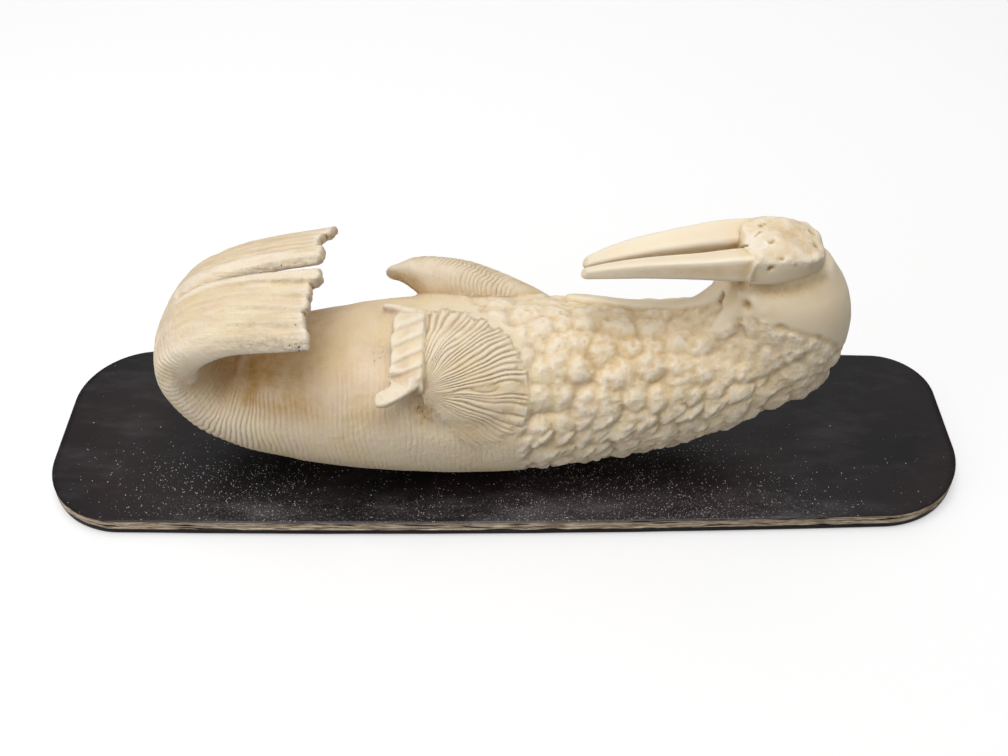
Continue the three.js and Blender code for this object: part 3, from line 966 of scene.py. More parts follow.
class Skin:
    """The joined forms as one dense mesh, and what the relief reads at each of its points."""

    def __init__(self):
        forms = joined(carving_forms())
        source = object_of(forms)
        shell = object_of(forms.copy())
        shell.data.attributes.remove(shell.data.attributes["form"])
        mesh = with_modifier(
            shell, "REMESH", "walrus_dense", mode="VOXEL", voxel_size=VOXEL, adaptivity=0
        )
        self.mesh = mesh = carry_fields(source, object_of(mesh), ["form"])
        bpy.data.objects.remove(source)

        points = points_of(mesh)
        self.around = Neighbours(edges_of(mesh), len(points))
        self.form = np.round(field_of(mesh, "form")).astype(int)
        soft = self.area(TRUNK, SKULL, CHIN, SHOULDER, rounds=8)
        points = self.around.soften(points, 6, 0.12 + 0.6 * soft)
        seams = 1 - np.clip(np.abs(self.area(TRUNK, rounds=60) - 0.5) * 2, 0, 1)
        fair = np.clip(seams * 1.6, 0, 1) * self.area(TRUNK, SKULL, CHIN, rounds=10)
        self.points = self.around.soften(points, 90, 0.9 * fair)
        set_points(mesh, self.points)
        normals = self.around.soften(normals_of(mesh), 8)
        self.normals = normals / np.linalg.norm(normals, axis=1)[:, None]

        self.arc, self.offset, self.line_x = place_on_trunk(self.points)
        self.turn = np.arctan2(self.points[:, 1], self.offset)
        self.spin = np.arctan2(self.points[:, 1], self.points[:, 2] - BODY_AXIS)
        self.trunk = self.area(TRUNK, SHOULDER, rounds=4)
        self.hide = self.area(TRUNK, SHOULDER, SKULL, CHIN, rounds=4)
        self.far_fore = self.area(FAR_FORE, rounds=3)

    def area(self, *numbers, rounds=6):
        """Which points are on those forms, from 0 to 1 over a soft border."""
        return self.around.soften(np.isin(self.form, numbers).astype(float), rounds)


def line_relief(skin, sizes):
    """Height of the grooves and folds. The material draws the fine edges of all the lines from
    the running numbers that are kept in the mesh."""
    roots = skin.area(NEAR_HIND, FAR_HIND, rounds=4)
    roots = roots * (1 - smoothstep(skin.points[:, 2], 40, 51))
    rung, strength = grooves(skin, sizes)
    strength = strength * (skin.trunk + roots)
    fan_rung, fan_strength = fan_folds(skin, sizes)
    fan_strength = fan_strength * skin.trunk
    blade_rung, blade_strength = blade_striae(skin.points)
    blade_strength = blade_strength * skin.far_fore

    in_fan = skin.fan_area * skin.trunk
    number = np.where(skin.far_fore > 0.5, blade_rung, rung)
    number = np.where(in_fan > 0.5, fan_rung, number)
    drawn = strength * (1 - np.clip(2 * in_fan, 0, 1)) * (1 - skin.far_fore) + blade_strength
    drawn = np.where(in_fan > 0.5, fan_strength, drawn)
    set_field(skin.mesh, "line_number", number)
    set_field(skin.mesh, "line_strength", np.clip(drawn, 0, 1))

    rise = sizes.groove_depth * (crest(rung) - 0.6) * strength
    rise = rise * (1 - skin.fan_area)
    coarse = smoothstep(skin.fan_reach, 4, 9)
    return rise + sizes.fold_height * (crest(fan_rung) - 0.5) * fan_strength * coarse


def chest_relief(skin, sizes):
    """Heights of the chest's rolled rim and of the nodules, and where the nodules are."""
    points, hide = skin.points, skin.hide
    px, py, pz = points.T
    rim_gap = distance_to_path(points, RIM)
    rim_y = np.interp(px, [p[0] for p in RIM], [p[1] for p in RIM])
    behind = bell(py - rim_y - 5.5, 4) * smoothstep(px, 20, 28) * (1 - smoothstep(px, 42, 48))
    behind *= smoothstep(pz, 36, 39) * hide
    band = 1 - smoothstep(rim_gap, 2.3, 3.1)
    rim = hide * band * (0.45 + 0.3 * (1 - (rim_gap / 3) ** 2)) - 0.8 * behind

    neck = np.interp(px, [p[0] for p in NECK], [p[1] for p in NECK])
    neck = neck + 0.9 * noise(points[:, :1], 2.6, 98)
    starts = 4 - 14 * smoothstep(skin.spin, -0.3, 0.4) + 1.2 * noise(points, 5, 99)
    coat = smoothstep(px, starts - 2, starts + 1.5) * (1 - smoothstep(pz - neck, -1.5, 0.6))
    coat *= smoothstep(rim_gap, 2.4, 3.4) * (1 - np.clip(behind * 1.6, 0, 1))
    coat *= 1 - skin.fan_area * skin.trunk
    coat *= 1 - 0.45 * smoothstep(skin.spin, 0.1, 0.5) * (1 - smoothstep(px, 5, 14))
    coat *= smoothstep(distance_to_path(points, LINES[STRIP][0]), 1.0, 2.6)
    return rim, hide * coat * nodules(skin, sizes), coat


def small_relief(skin, rise):
    """Adds the lines and marks to the height, and gives the dark colour that they get: dirt in the
    crack at the far tusk's root and in the pits, and painted shade in the hollows under the whisker
    pad, at the mouth and the armpit, along the cheek's step, where the rim turns in and beside the
    palm.
    """
    dirt_and_shade = np.zeros(len(rise))
    for path, half_width, height, soil in LINES:
        share = bell(distance_to_path(skin.points, path), half_width)
        rise += height * share
        dirt_and_shade = np.maximum(dirt_and_shade, soil * share)
    for *place, radius, height in MARKS:
        share = bell(np.linalg.norm(skin.points - place, axis=1), radius)
        rise += height * share
        dirt_and_shade = np.maximum(dirt_and_shade, 0.8 * share * (height < 0))
    return dirt_and_shade


def sculpt(sizes):
    """The carving's mesh in free-form millimetres, with the fields its material reads."""
    skin = Skin()
    rise = line_relief(skin, sizes)
    rim, lumps, coat = chest_relief(skin, sizes)
    rise += rim
    rise += lumps
    dirt_and_shade = small_relief(skin, rise)

    points = skin.points
    facing_up = smoothstep(skin.normals[:, 2], 0.05, 0.55)
    pads = skin.area(PADS, rounds=2) * facing_up
    digits = skin.area(PALM_FORM, OUTER, INNER, NEAR_HIND, FAR_HIND, rounds=2)
    rise += 0.1 * rough_noise(points, 7, 90, 3) * (0.4 + 0.6 * skin.hide)
    rise += 0.3 * rough_noise(points, 3.4, 93, 3) * pads + 0.1 * noise(points, 2.4, 96) * digits
    points = points + skin.normals * rise[:, None]
    fresh = np.zeros(len(points))
    for centre, facing, radius in FLATS:
        points, share = pared(points, centre, facing, radius)
        fresh = np.maximum(fresh, share)
    points[:, 2] = np.maximum(points[:, 2], SEAT)
    set_points(skin.mesh, points)
    weather(skin, points, coat, facing_up, dirt_and_shade, fresh)
    return skin.mesh


def weather(skin, points, coat, facing_up, dirt_and_shade, fresh):
    """Sets the fields that tell the material where dirt, stain, painted shade and polish lie, and where
    it paints a highlight on the muzzle's pared flat.
    """
    area, trunk, around = skin.area, skin.trunk, skin.around
    px, py, pz = skin.points.T
    normals = normals_of(skin.mesh)
    hollow = np.sum((around.soften(points, 14) - points) * normals, axis=1)
    broad = np.sum((around.soften(points, 90) - points) * normals, axis=1)

    # Tan on the belly under the hind flippers: partly the ivory's own stain, partly painted shade where
    # the flippers overhang it.
    under_flippers = smoothstep(px, -73, -66) * (1 - smoothstep(px, -50, -34))
    under_flippers *= smoothstep(skin.offset, 3, 9) * trunk
    ochre = skin.hide * coat * bell(px - 30, 26) * bell(skin.spin + 0.5, 0.75)
    pads = area(PADS, rounds=2)
    top_stain = pads * facing_up * (0.22 + 0.35 * noise(points, 3.2, 97))
    fins = area(NEAR_HIND, FAR_HIND, rounds=3) * smoothstep(pz, 44, 52)
    # Tan on the undersides of the outer digit and the palm, stronger the more they face down: painted
    # shade.
    under_digit = area(OUTER, PALM_FORM, rounds=2) * (1 - smoothstep(py, -17, -14))
    under_digit *= 0.3 + 0.6 * smoothstep(-normals[:, 2], -0.7, -0.1)
    # Tan on the far tusk's downward sides and the near tusk's front side: painted shade.
    tusk_side = area(TUSK_B, rounds=2) * smoothstep(-normals[:, 2], -0.75, 0.1) * 0.65
    tusk_side += area(TUSK_A, rounds=2) * smoothstep(-normals[:, 1], 0.45, 0.85) * 0.45
    belly_wash = smoothstep(px, -62, -50) * (1 - smoothstep(px, -30, -20)) * trunk
    belly_wash *= (0.24 + 0.2 * noise(points, 6, 102)) * smoothstep(skin.offset, 3, 9)
    # Tan: the ivory's own stains and dirt, and painted shade under the flippers and digits, on the
    # tusks' sides and in the darkened hollows.
    stains_and_shades = [
        0.85 * under_flippers,
        0.12 * ochre,
        top_stain * smoothstep(px, 55, 60),
        tusk_side,
        dirt_and_shade,
        fins * (0.13 + 0.2 * noise(points * [0.3, 1, 1], 2.6, 100)),
        under_digit,
        skin.far_fore * (0.3 + 0.35 * noise(points, 3.5, 101)),
        fins * smoothstep(normals[:, 0], 0.15, 0.5) * smoothstep(px, -47, -44.5),
        belly_wash,
        skin.fan_area * trunk * (0.12 + 0.15 * noise(points, 4, 103)),
    ]
    corner = bell(np.linalg.norm((points - [-44.5, -18.6, 50.5]) / [1.7, 1, 1.2], axis=1), 2.0)
    spots = bell(np.linalg.norm(points - [-28.5, -9.5, 41.0], axis=1), 2.2)
    outer_edge = fins * smoothstep(-normals[:, 1], 0.4, 0.8) * smoothstep(px, -66, -56) * 0.4
    smooth = area(TUSK_A, TUSK_B, rounds=2) + area(SKULL, CHIN, rounds=2) * (1 - coat)
    fields = {
        "cavity": 0.5 + 2.2 * hollow + 0.4 * broad,
        "stain": np.maximum.reduce(stains_and_shades),
        "core": skin.hide * coat * bell(px - 28, 24) * bell(skin.spin + 0.45, 0.5),
        "polish": smooth + pads * (1 - facing_up),
        "soil": np.maximum.reduce([corner, 0.55 * spots, 0.9 * dirt_and_shade, outer_edge]),
        # The muzzle's pared flat, which the material paints pale as a highlight.
        "fresh": fresh * (px > 45),
        "fins": fins,
    }
    for name, values in fields.items():
        set_field(skin.mesh, name, np.clip(values, 0, 1))


FIELDS = ["cavity", "stain", "core", "polish", "soil", "fresh", "fins"]
FIELDS += ["line_number", "line_strength"]


def lightened(mesh, names):
    """The same surface with fewer triangles, and the named fields carried over to it."""
    dense = object_of(mesh)
    ratio = min(1, WANTED_TRIANGLES / (2 * len(mesh.polygons)))
    light = with_modifier(
        object_of(mesh.copy()),
        "DECIMATE",
        "walrus_light",
        decimate_type="COLLAPSE",
        ratio=ratio,
        use_collapse_triangulate=True,
    )
    light = carry_fields(dense, object_of(light), names)
    bpy.data.objects.remove(dense)
    return light


# Base board

BOARD_DEPTH_TAIL = 59.5
BOARD_DEPTH_HEAD = 56
BOARD_BOW = 1.19  # how far the middle of each long side stands out
CORNER_FRONT_TAIL = 20
CORNER_FRONT_HEAD = 22.5
CORNER_BACK_HEAD = 14.5
CORNER_BACK_TAIL = 19
EDGE_STEP = 0.5
WALL_HEIGHTS = [0, 0.25, 0.6, 1.1, 1.6, *np.arange(2.0, 4.8, 0.2), 4.8, 4.92, 5]
FACE_RINGS = (0.012, 0.05, 0.12, 0.22, 0.34, 0.47, 0.6, 0.74, 0.88, 1.0)
BARE_LOW, BARE_HIGH = 2.1, 4.72  # heights between which the front edge shows bare wood


def board_outline():
    """Evenly spaced points round the board, anticlockwise, and the way out at each."""
    left, right = BOARD_LOW[0], BOARD_HIGH[0]
    tail, head = BOARD_DEPTH_TAIL / 2, BOARD_DEPTH_HEAD / 2
    bow = (tail + head) / 2 + 2 * BOARD_BOW
    steps = np.linspace(0, 1, 60)[:, None]

    def side(start, middle, end):
        start, middle, end = np.array([start, middle, end])
        return start * (1 - steps) ** 2 + 2 * middle * steps * (1 - steps) + end * steps**2

    def corner(end, depth, radius, quarter):
        angle = (steps + quarter) * math.pi / 2
        x = end - math.copysign(radius, end)
        y = depth - math.copysign(radius, depth)
        return np.hstack([x + radius * np.cos(angle), y + radius * np.sin(angle)])

    front = side((left + CORNER_FRONT_TAIL, -tail), (0, -bow), (right - CORNER_FRONT_HEAD, -head))
    back = side((right - CORNER_BACK_HEAD, head), (0, bow), (left + CORNER_BACK_TAIL, tail))
    front_head = corner(right, -head, CORNER_FRONT_HEAD, -1)
    back_head = corner(right, head, CORNER_BACK_HEAD, 0)
    back_tail = corner(left, tail, CORNER_BACK_TAIL, 1)
    front_tail = corner(left, -tail, CORNER_FRONT_TAIL, 2)
    line = np.vstack([front, front_head, back_head, back, back_tail, front_tail, front[:1]])
    run = np.concatenate([[0], np.cumsum(np.linalg.norm(np.diff(line, axis=0), axis=1))])
    count = int(run[-1] / EDGE_STEP)
    wanted = np.arange(count) * run[-1] / count
    line = np.stack([np.interp(wanted, run, line[:, k]) for k in (0, 1)], axis=1)
    course = np.roll(line, -1, axis=0) - np.roll(line, 1, axis=0)
    out = np.stack([course[:, 1], -course[:, 0]], axis=1)
    return line, out / np.linalg.norm(out, axis=1)[:, None]


def board_mesh():
    """The board with its frayed front edge, as rings from below, up the edge and inwards."""
    line, out = board_outline()
    thick = BOARD_HIGH[2] - BOARD_LOW[2]
    wall = np.array(WALL_HEIGHTS) * thick / 5
    run = np.arange(len(line)) * EDGE_STEP
    front = smoothstep(-out[:, 1], 0.1, 0.5)
    torn = bell(line[:, 0] - BOARD_HIGH[0] + 8, 9) + bell(line[:, 0] - BOARD_LOW[0] - 8, 8)
    torn = torn * front
    rings, bare = [], []
    for height in wall:
        inward = 0.5 * (1 - smoothstep(height, 0, 0.8)) + 0.45 * smoothstep(height, 4.85, 5.0)
        ply = np.stack([run * 0.12, np.full(len(run), height * 3.2)], axis=1)
        coarse = np.stack([run * 0.3, np.full(len(run), height * 1.4)], axis=1)
        in_wood = smoothstep(height, BARE_LOW - 0.15, BARE_LOW + 0.15)
        in_wood *= 1 - smoothstep(height, BARE_HIGH - 0.1, BARE_HIGH + 0.06)
        fray = 0.22 + 0.2 * noise(ply, 1, 201) + (0.12 + 0.3 * torn) * noise(coarse, 1, 202)
        sunk = inward + front * in_wood * fray + 0.05 * noise(ply * [1, 0.3], 1, 204) + 0.05
        lamina = front * bell(height - 2.2, 0.22) * (0.3 + 0.3 * noise(ply[:, :1], 0.5, 205))
        sunk = np.maximum(sunk - lamina, 0)
        rings.append(np.hstack([line - out * sunk[:, None], np.full((len(line), 1), height)]))
        bare.append(front * in_wood + 0.25 * torn * (height > 4))
    top = rings[-1]
    for share in FACE_RINGS:
        rings.append(top * [1 - share, 1 - share, 1])
        bare.append(np.zeros(len(line)))
    rings.insert(0, rings[0] * [0, 0, 1])
    bare.insert(0, np.zeros(len(line)))
    points = np.vstack(rings)
    mesh = mesh_of("base_board", points * MM, ring_quads(len(rings) - 1, len(line)))
    set_field(mesh, "bare", np.concatenate(bare))
    x, y = points[:, 0], points[:, 1]
    dusty = bell(y + 27, 5.5) * smoothstep(x, -100, -60) * (1 - smoothstep(x, 60, 95))
    set_field(mesh, "dusty", dusty * (points[:, 2] > thick - 0.1))
    shape = bmesh.new()
    shape.from_mesh(mesh)
    bmesh.ops.remove_doubles(shape, verts=shape.verts, dist=1e-7)
    shape.to_mesh(mesh)
    shape.free()
    mesh.shade_smooth()
    mesh.set_sharp_from_angle(angle=math.radians(40))
    return mesh


# Grains on the board: how many per square metre, their size in mm, their shape and a seed
GRAINS = {
    "board_dust": (4.5e6, 0.1, (1, 1, 0.5), 3),
    "board_lint": (4e4, 0.5, (1, 0.06, 0.05), 11),
}


def scattered(board, name, material):
    """Grains strewn over the board's face, thicker towards the front and in drifts."""
    density, size, shape, seed = GRAINS[name]
    tree = bpy.data.node_groups.new(name, "GeometryNodeTree")
    face = tree.interface
    face.new_socket("Geometry", in_out="INPUT", socket_type="NodeSocketGeometry")
    face.new_socket("Grains per m2", in_out="INPUT", socket_type="NodeSocketFloat")
    face.new_socket("Grain size", in_out="INPUT", socket_type="NodeSocketFloat")
    face.new_socket("Material", in_out="INPUT", socket_type="NodeSocketMaterial")
    face.new_socket("Geometry", in_out="OUTPUT", socket_type="NodeSocketGeometry")
    given = add_node(tree, "NodeGroupInput").outputs

    place = add_node(tree, "GeometryNodeInputPosition").outputs["Position"]
    split = add_node(tree, "ShaderNodeSeparateXYZ", {"Vector": place}).outputs
    drifts = add_node(
        tree, "ShaderNodeTexNoise", {"Vector": place}, inputs={"Scale": 70.0, "Detail": 4.0}
    ).outputs["Fac"]
    on_face = math_of(tree, "GREATER_THAN", split["Z"], (BOARD_HIGH[2] - 0.02) * MM)
    in_front = spread(tree, split["Y"], -0.02, 0.004, 1.0, 0.05)
    thick = times(tree, spread(tree, drifts, 0.42, 0.68, 0.04, 1.0), in_front)
    left = spread(tree, split["X"], -0.105, -0.07, 0.12, 1.0)
    right = spread(tree, split["X"], 0.05, 0.09, 1.0, 0.1)
    thick = times(tree, thick, times(tree, left, right))
    density_at = times(tree, times(tree, thick, on_face), given["Grains per m2"])
    spots = add_node(
        tree,
        "GeometryNodeDistributePointsOnFaces",
        {"Mesh": given["Geometry"], "Density": density_at},
        distribute_method="RANDOM",
        inputs={"Seed": seed},
    )
    grain = add_node(tree, "GeometryNodeMeshCube", inputs={"Size": shape})
    chance = add_node(
        tree, "FunctionNodeRandomValue", data_type="FLOAT", inputs={"Seed": seed + 1}
    ).outputs[1]
    share = spread(tree, math_of(tree, "POWER", chance, 3.0), 0.0, 1.0, 0.4, 2.1)
    wide = times(tree, share, given["Grain size"])
    turned = add_node(
        tree, "FunctionNodeRandomValue", data_type="FLOAT_VECTOR", inputs={"Seed": seed + 2}
    )
    turned.inputs["Min"].default_value = (-0.15, -0.15, 0.0)
    turned.inputs["Max"].default_value = (0.15, 0.15, 6.28)
    strewn = add_node(
        tree,
        "GeometryNodeInstanceOnPoints",
        {
            "Points": spots.outputs["Points"],
            "Instance": grain.outputs["Mesh"],
            "Rotation": turned.outputs["Value"],
            "Scale": wide,
        },
    )
    real = add_node(
        tree, "GeometryNodeRealizeInstances", {"Geometry": strewn.outputs["Instances"]}
    )
    painted = add_node(
        tree,
        "GeometryNodeSetMaterial",
        {"Geometry": real.outputs["Geometry"], "Material": given["Material"]},
    )
    add_node(tree, "NodeGroupOutput", {"Geometry": painted.outputs["Geometry"]})

    host = object_of(board.copy())
    modifier = host.modifiers.new("Scatter", "NODES")
    modifier.node_group = tree
    values = {"Grains per m2": density, "Grain size": size * MM, "Material": material}
    for socket, value in values.items():
        modifier[face.items_tree[socket].identifier] = value
    mesh = evaluated(host, name)
    bpy.data.objects.remove(host)
    print(name, "triangles", 2 * len(mesh.polygons))
    return mesh


# Materials


def new_material(name):
    material = bpy.data.materials.new(name)
    material.use_nodes = True
    tree = material.node_tree
    tree.nodes.clear()
    shader = add_node(tree, "ShaderNodeBsdfPrincipled")
    add_node(tree, "ShaderNodeOutputMaterial", {"Surface": shader.outputs["BSDF"]})
    return material, tree, shader


def object_place(tree, stretch=(1, 1, 1)):
    """Object coordinates, in metres, with a pattern stretched along the axes."""
    place = add_node(tree, "ShaderNodeTexCoord").outputs["Object"]
    if tuple(stretch) == (1, 1, 1):
        return place
    return add_node(
        tree, "ShaderNodeMapping", {"Vector": place}, inputs={"Scale": stretch}
    ).outputs["Vector"]


def noise_of(tree, place, size_mm, detail=3, roughness=0.5):
    """Noise whose lumps are about that many millimetres wide."""
    return add_node(
        tree,
        "ShaderNodeTexNoise",
        {"Vector": place},
        inputs={"Scale": 1000 / size_mm, "Detail": detail, "Roughness": roughness},
    ).outputs["Fac"]


def blend_of(tree, share, a, b, kind="MIX"):
    """A mix of two colours, each an output or a linear colour."""
    node = add_node(tree, "ShaderNodeMix", data_type="RGBA", blend_type=kind)
    for socket, value in zip((node.inputs[0], node.inputs[6], node.inputs[7]), (share, a, b)):
        if isinstance(value, bpy.types.NodeSocket):
            tree.links.new(value, socket)
        elif isinstance(value, (int, float)):
            socket.default_value = value
        else:
            socket.default_value = [*value[:3], 1]
    return node.outputs[2]


def field_in(tree, name):
    return add_node(
        tree, "ShaderNodeAttribute", attribute_type="GEOMETRY", attribute_name=name
    ).outputs["Fac"]


def bump_of(tree, height, distance_mm, strength=1.0, before=None):
    links = {"Height": height}
    if before is not None:
        links["Normal"] = before
    return add_node(
        tree, "ShaderNodeBump", links, inputs={"Distance": distance_mm * MM, "Strength": strength}
    ).outputs["Normal"]


def ridge_of(tree, number):
    """0 in the cuts of a run of ridges and 1 on the ridges, from their running number."""
    part = math_of(tree, "FRACT", number, 0.0)
    doubled = times(tree, part, 2.0)
    off = math_of(tree, "ABSOLUTE", math_of(tree, "SUBTRACT", doubled, 1.0), 0.0)
    return math_of(tree, "SUBTRACT", 1.0, math_of(tree, "POWER", off, 3.0))


def carved_ivory(colours):
    """Walrus ivory, cut with a knife and graver and rubbed smooth by handling.
    It gives a warm cream with a soft edge to the shadows, tan where dirt and handling lie in the cuts,
    tan painted shade under the flippers and digits, on the tusks' sides and in some hollows, a painted
    highlight on the pared flat of the muzzle, a mottled core where the chest cuts into it, and a low
    sheen."""
    material, tree, shader = new_material("carved_walrus_ivory")
    place = object_place(tree)
    cloud = noise_of(tree, place, 14, 3)
    patch = noise_of(tree, place, 3.5, 4, 0.6)
    colour = blend_of(tree, spread(tree, cloud, 0.35, 0.65), colours.cream, colours.pale)
    warmth = spread(tree, noise_of(tree, place, 8, 4, 0.6), 0.42, 0.62, 0.0, 0.75)
    along = add_node(tree, "ShaderNodeSeparateXYZ", {"Vector": place}).outputs["X"]
    warmth = times(tree, warmth, spread(tree, along, -0.04, 0.02, 1.0, 0.45))
    colour = blend_of(tree, warmth, colour, colours.blush)
    cavity = field_in(tree, "cavity")
    stain = field_in(tree, "stain")
    core = field_in(tree, "core")

    # Tan from the stain field: the ivory's own stains and dirt, and painted shade under the flippers
    # and digits, on the tusks' sides and in hollows.
    tan_share = times(tree, stain, spread(tree, patch, 0.3, 0.7, 0.5, 1.15))
    colour = blend_of(tree, tan_share, colour, colours.tan)

    cells = add_node(
        tree,
        "ShaderNodeTexVoronoi",
        {"Vector": place},
        feature="SMOOTH_F1",
        inputs={"Scale": 1000 / 1.3, "Smoothness": 0.6},
    ).outputs["Distance"]
    mottle = times(tree, core, spread(tree, cells, 0.25, 0.6, 0.0, 0.45))
    colour = blend_of(tree, mottle, colour, colours.core)

    deep = spread(tree, cavity, 0.58, 0.95)
    deep = times(tree, deep, spread(tree, patch, 0.3, 0.65, 0.08, 0.42))
    colour = blend_of(tree, deep, colour, colours.crevice)
    raised = spread(tree, cavity, 0.5, 0.12, 0.0, 0.6)
    colour = blend_of(tree, raised, colour, colours.rubbed)

    ridge = ridge_of(tree, field_in(tree, "line_number"))
    strength = field_in(tree, "line_strength")
    in_cut = times(tree, math_of(tree, "SUBTRACT", 1.0, ridge), strength)
    browned = times(tree, in_cut, spread(tree, stain, 0, 0.6, 0.12, 0.4))
    colour = blend_of(tree, browned, colour, colours.crevice)

    # Dark smudges: dirt on the flipper's corner and edge, and painted shade in the hollows that the
    # lines and marks darken.
    soil = field_in(tree, "soil")
    grit = noise_of(tree, place, 1.3, 4, 0.7)
    smudge_and_shade = times(tree, soil, spread(tree, grit, 0.42, 0.62, 0.15, 0.85))
    colour = blend_of(tree, smudge_and_shade, colour, colours.smudge_and_shade)
    specks = noise_of(tree, place, 0.7, 2, 0.4)
    reached = plus(tree, specks, times(tree, soil, 0.16))
    colour = blend_of(tree, spread(tree, reached, 0.78, 0.81), colour, colours.speck)
    # Painted highlight: the pared flat on the muzzle made nearly as pale as the rubbed colour.
    painted_flat_highlight = times(tree, field_in(tree, "fresh"), 0.95)
    colour = blend_of(tree, painted_flat_highlight, colour, colours.rubbed)
    tree.links.new(colour, shader.inputs["Base Color"])

    polish = field_in(tree, "polish")
    rough = spread(tree, polish, 0, 1, 0.5, 0.36)
    rough = plus(tree, rough, spread(tree, patch, 0.3, 0.7, -0.05, 0.07))
    tree.links.new(rough, shader.inputs["Roughness"])
    shader.inputs["IOR"].default_value = 1.54
    shader.inputs["Specular IOR Level"].default_value = 0.4
    shader.inputs["Subsurface Weight"].default_value = 0.12
    shader.inputs["Subsurface Radius"].default_value = (1.0, 0.7, 0.45)
    shader.inputs["Subsurface Scale"].default_value = 0.0006

    # Scraper and graver marks run across the trunk, drawn at about 0.5 mm so that they show
    scrape = noise_of(tree, object_place(tree, (1, 0.12, 0.12)), 0.5, 3, 0.6)
    grain = noise_of(tree, place, 0.6, 3, 0.6)
    rough_cut = spread(tree, polish, 0, 1, 1.0, 0.2)
    marks = times(tree, plus(tree, scrape, grain), rough_cut)
    normal = bump_of(tree, marks, 0.13, 0.7)
    lumps = times(tree, noise_of(tree, place, 1.5, 3, 0.6), rough_cut)
    normal = bump_of(tree, lumps, 0.5, 0.65, before=normal)
    strokes = noise_of(tree, object_place(tree, (0.12, 1, 1)), 1.1, 3, 0.6)
    strokes = times(tree, strokes, field_in(tree, "fins"))
    normal = bump_of(tree, strokes, 0.6, 0.7, before=normal)
    normal = bump_of(tree, times(tree, ridge, strength), 0.24, 0.8, before=normal)
    tree.links.new(normal, shader.inputs["Normal"])
    return material


def black_board(colours):
    """A thin hardwood board, lacquered black on its face, with the bare layers of the wood at its worn
    edge. It gives a near black with a purple tint, a dull sheen under a haze of dust, faint pale
    streaks painted as sheen over the whole face, and light brown fibres along the front."""
    material, tree, shader = new_material("black_lacquered_board")
    place = object_place(tree)
    cloud = noise_of(tree, place, 40, 4, 0.6)
    face = blend_of(tree, spread(tree, cloud, 0.4, 0.65), colours.board, colours.board_tint)
    smear = noise_of(tree, object_place(tree, (0.35, 1, 1)), 9, 6, 0.7)
    dusty = field_in(tree, "dusty")
    dust_and_sheen = times(tree, dusty, spread(tree, smear, 0.4, 0.75, 0.0, 0.14))
    # Faint pale streaks over the whole face: painted sheen.
    dust_and_sheen = plus(tree, dust_and_sheen, spread(tree, smear, 0.5, 0.8, 0.0, 0.06))
    grit = spread(tree, noise_of(tree, place, 0.55, 2, 0.6), 0.56, 0.7, 0.0, 0.35)
    dust_and_sheen = plus(tree, dust_and_sheen, times(tree, grit, dusty))
    face = blend_of(tree, dust_and_sheen, face, colours.dust)

    fibres = noise_of(tree, object_place(tree, (0.07, 0.07, 1)), 0.34, 4, 0.7)
    wood = blend_of(tree, spread(tree, fibres, 0.38, 0.6), colours.wood_dark, colours.wood)
    splits = noise_of(tree, object_place(tree, (0.035, 0.035, 1)), 0.5, 2, 0.5)
    wood = blend_of(tree, spread(tree, splits, 0.56, 0.62), wood, colours.board)
    bare = field_in(tree, "bare")
    chips = spread(tree, noise_of(tree, place, 3, 4, 0.7), 0.3, 0.7, -0.3, 0.3)
    torn = plus(tree, bare, chips)
    colour = blend_of(tree, spread(tree, torn, 0.4, 0.6), face, wood)
    tree.links.new(colour, shader.inputs["Base Color"])

    rough = spread(tree, noise_of(tree, place, 12, 4, 0.6), 0.3, 0.7, 0.26, 0.38)
    rough = plus(tree, rough, times(tree, bare, 0.4))
    tree.links.new(rough, shader.inputs["Roughness"])
    shader.inputs["Specular IOR Level"].default_value = 0.28
    ripple = noise_of(tree, place, 1.6, 4, 0.6)
    normal = bump_of(tree, ripple, 0.03, 0.5)
    normal = bump_of(tree, times(tree, fibres, bare), 0.35, 1.0, before=normal)
    tree.links.new(normal, shader.inputs["Normal"])
    return material


DUST_BRIGHT = (0.85, 0.83, 0.83)


def pale_dust(colours):
    """Dry household dust and splinters of wood, which give small pale points on the black."""
    material, tree, shader = new_material("pale_dust")
    tint = noise_of(tree, object_place(tree), 2.5, 2)
    colour = blend_of(tree, spread(tree, tint, 0.4, 0.6), colours.dust, DUST_BRIGHT)
    tree.links.new(colour, shader.inputs["Base Color"])
    shader.inputs["Roughness"].default_value = 0.9
    shader.inputs["Specular IOR Level"].default_value = 0.2
    return material


FLOOR_TO_CAMERA = (0.6, 0.6, 0.6)
FLOOR_TO_CARVING = (0.38, 0.38, 0.38)
FLOOR_GLOW = 0.42  # added to what the camera sees


def pale_floor():
    """Smooth white card under the board. It shows the camera a plain white ground with a soft
    shadow, and throws a duller light up on the carving."""
    material, tree, shader = new_material("pale_studio_floor")
    seen = add_node(tree, "ShaderNodeLightPath").outputs["Is Camera Ray"]
    colour = blend_of(tree, seen, FLOOR_TO_CARVING, FLOOR_TO_CAMERA)
    tree.links.new(colour, shader.inputs["Base Color"])
    tree.links.new(times(tree, seen, FLOOR_GLOW), shader.inputs["Emission Strength"])
    shader.inputs["Emission Color"].default_value = [1, 1, 1, 1]
    shader.inputs["Roughness"].default_value = 0.9
    shader.inputs["Specular IOR Level"].default_value = 0.0
    return material


# Settings


def colour_property(name, description, hex_colour):
    return FloatVectorProperty(
        name=name,
        description=description,
        subtype="COLOR",
        size=3,
        min=0,
        max=1,
        default=linear(hex_colour),
    )


def amount(name, description, default):
    return FloatProperty(name=name, description=description, default=default)


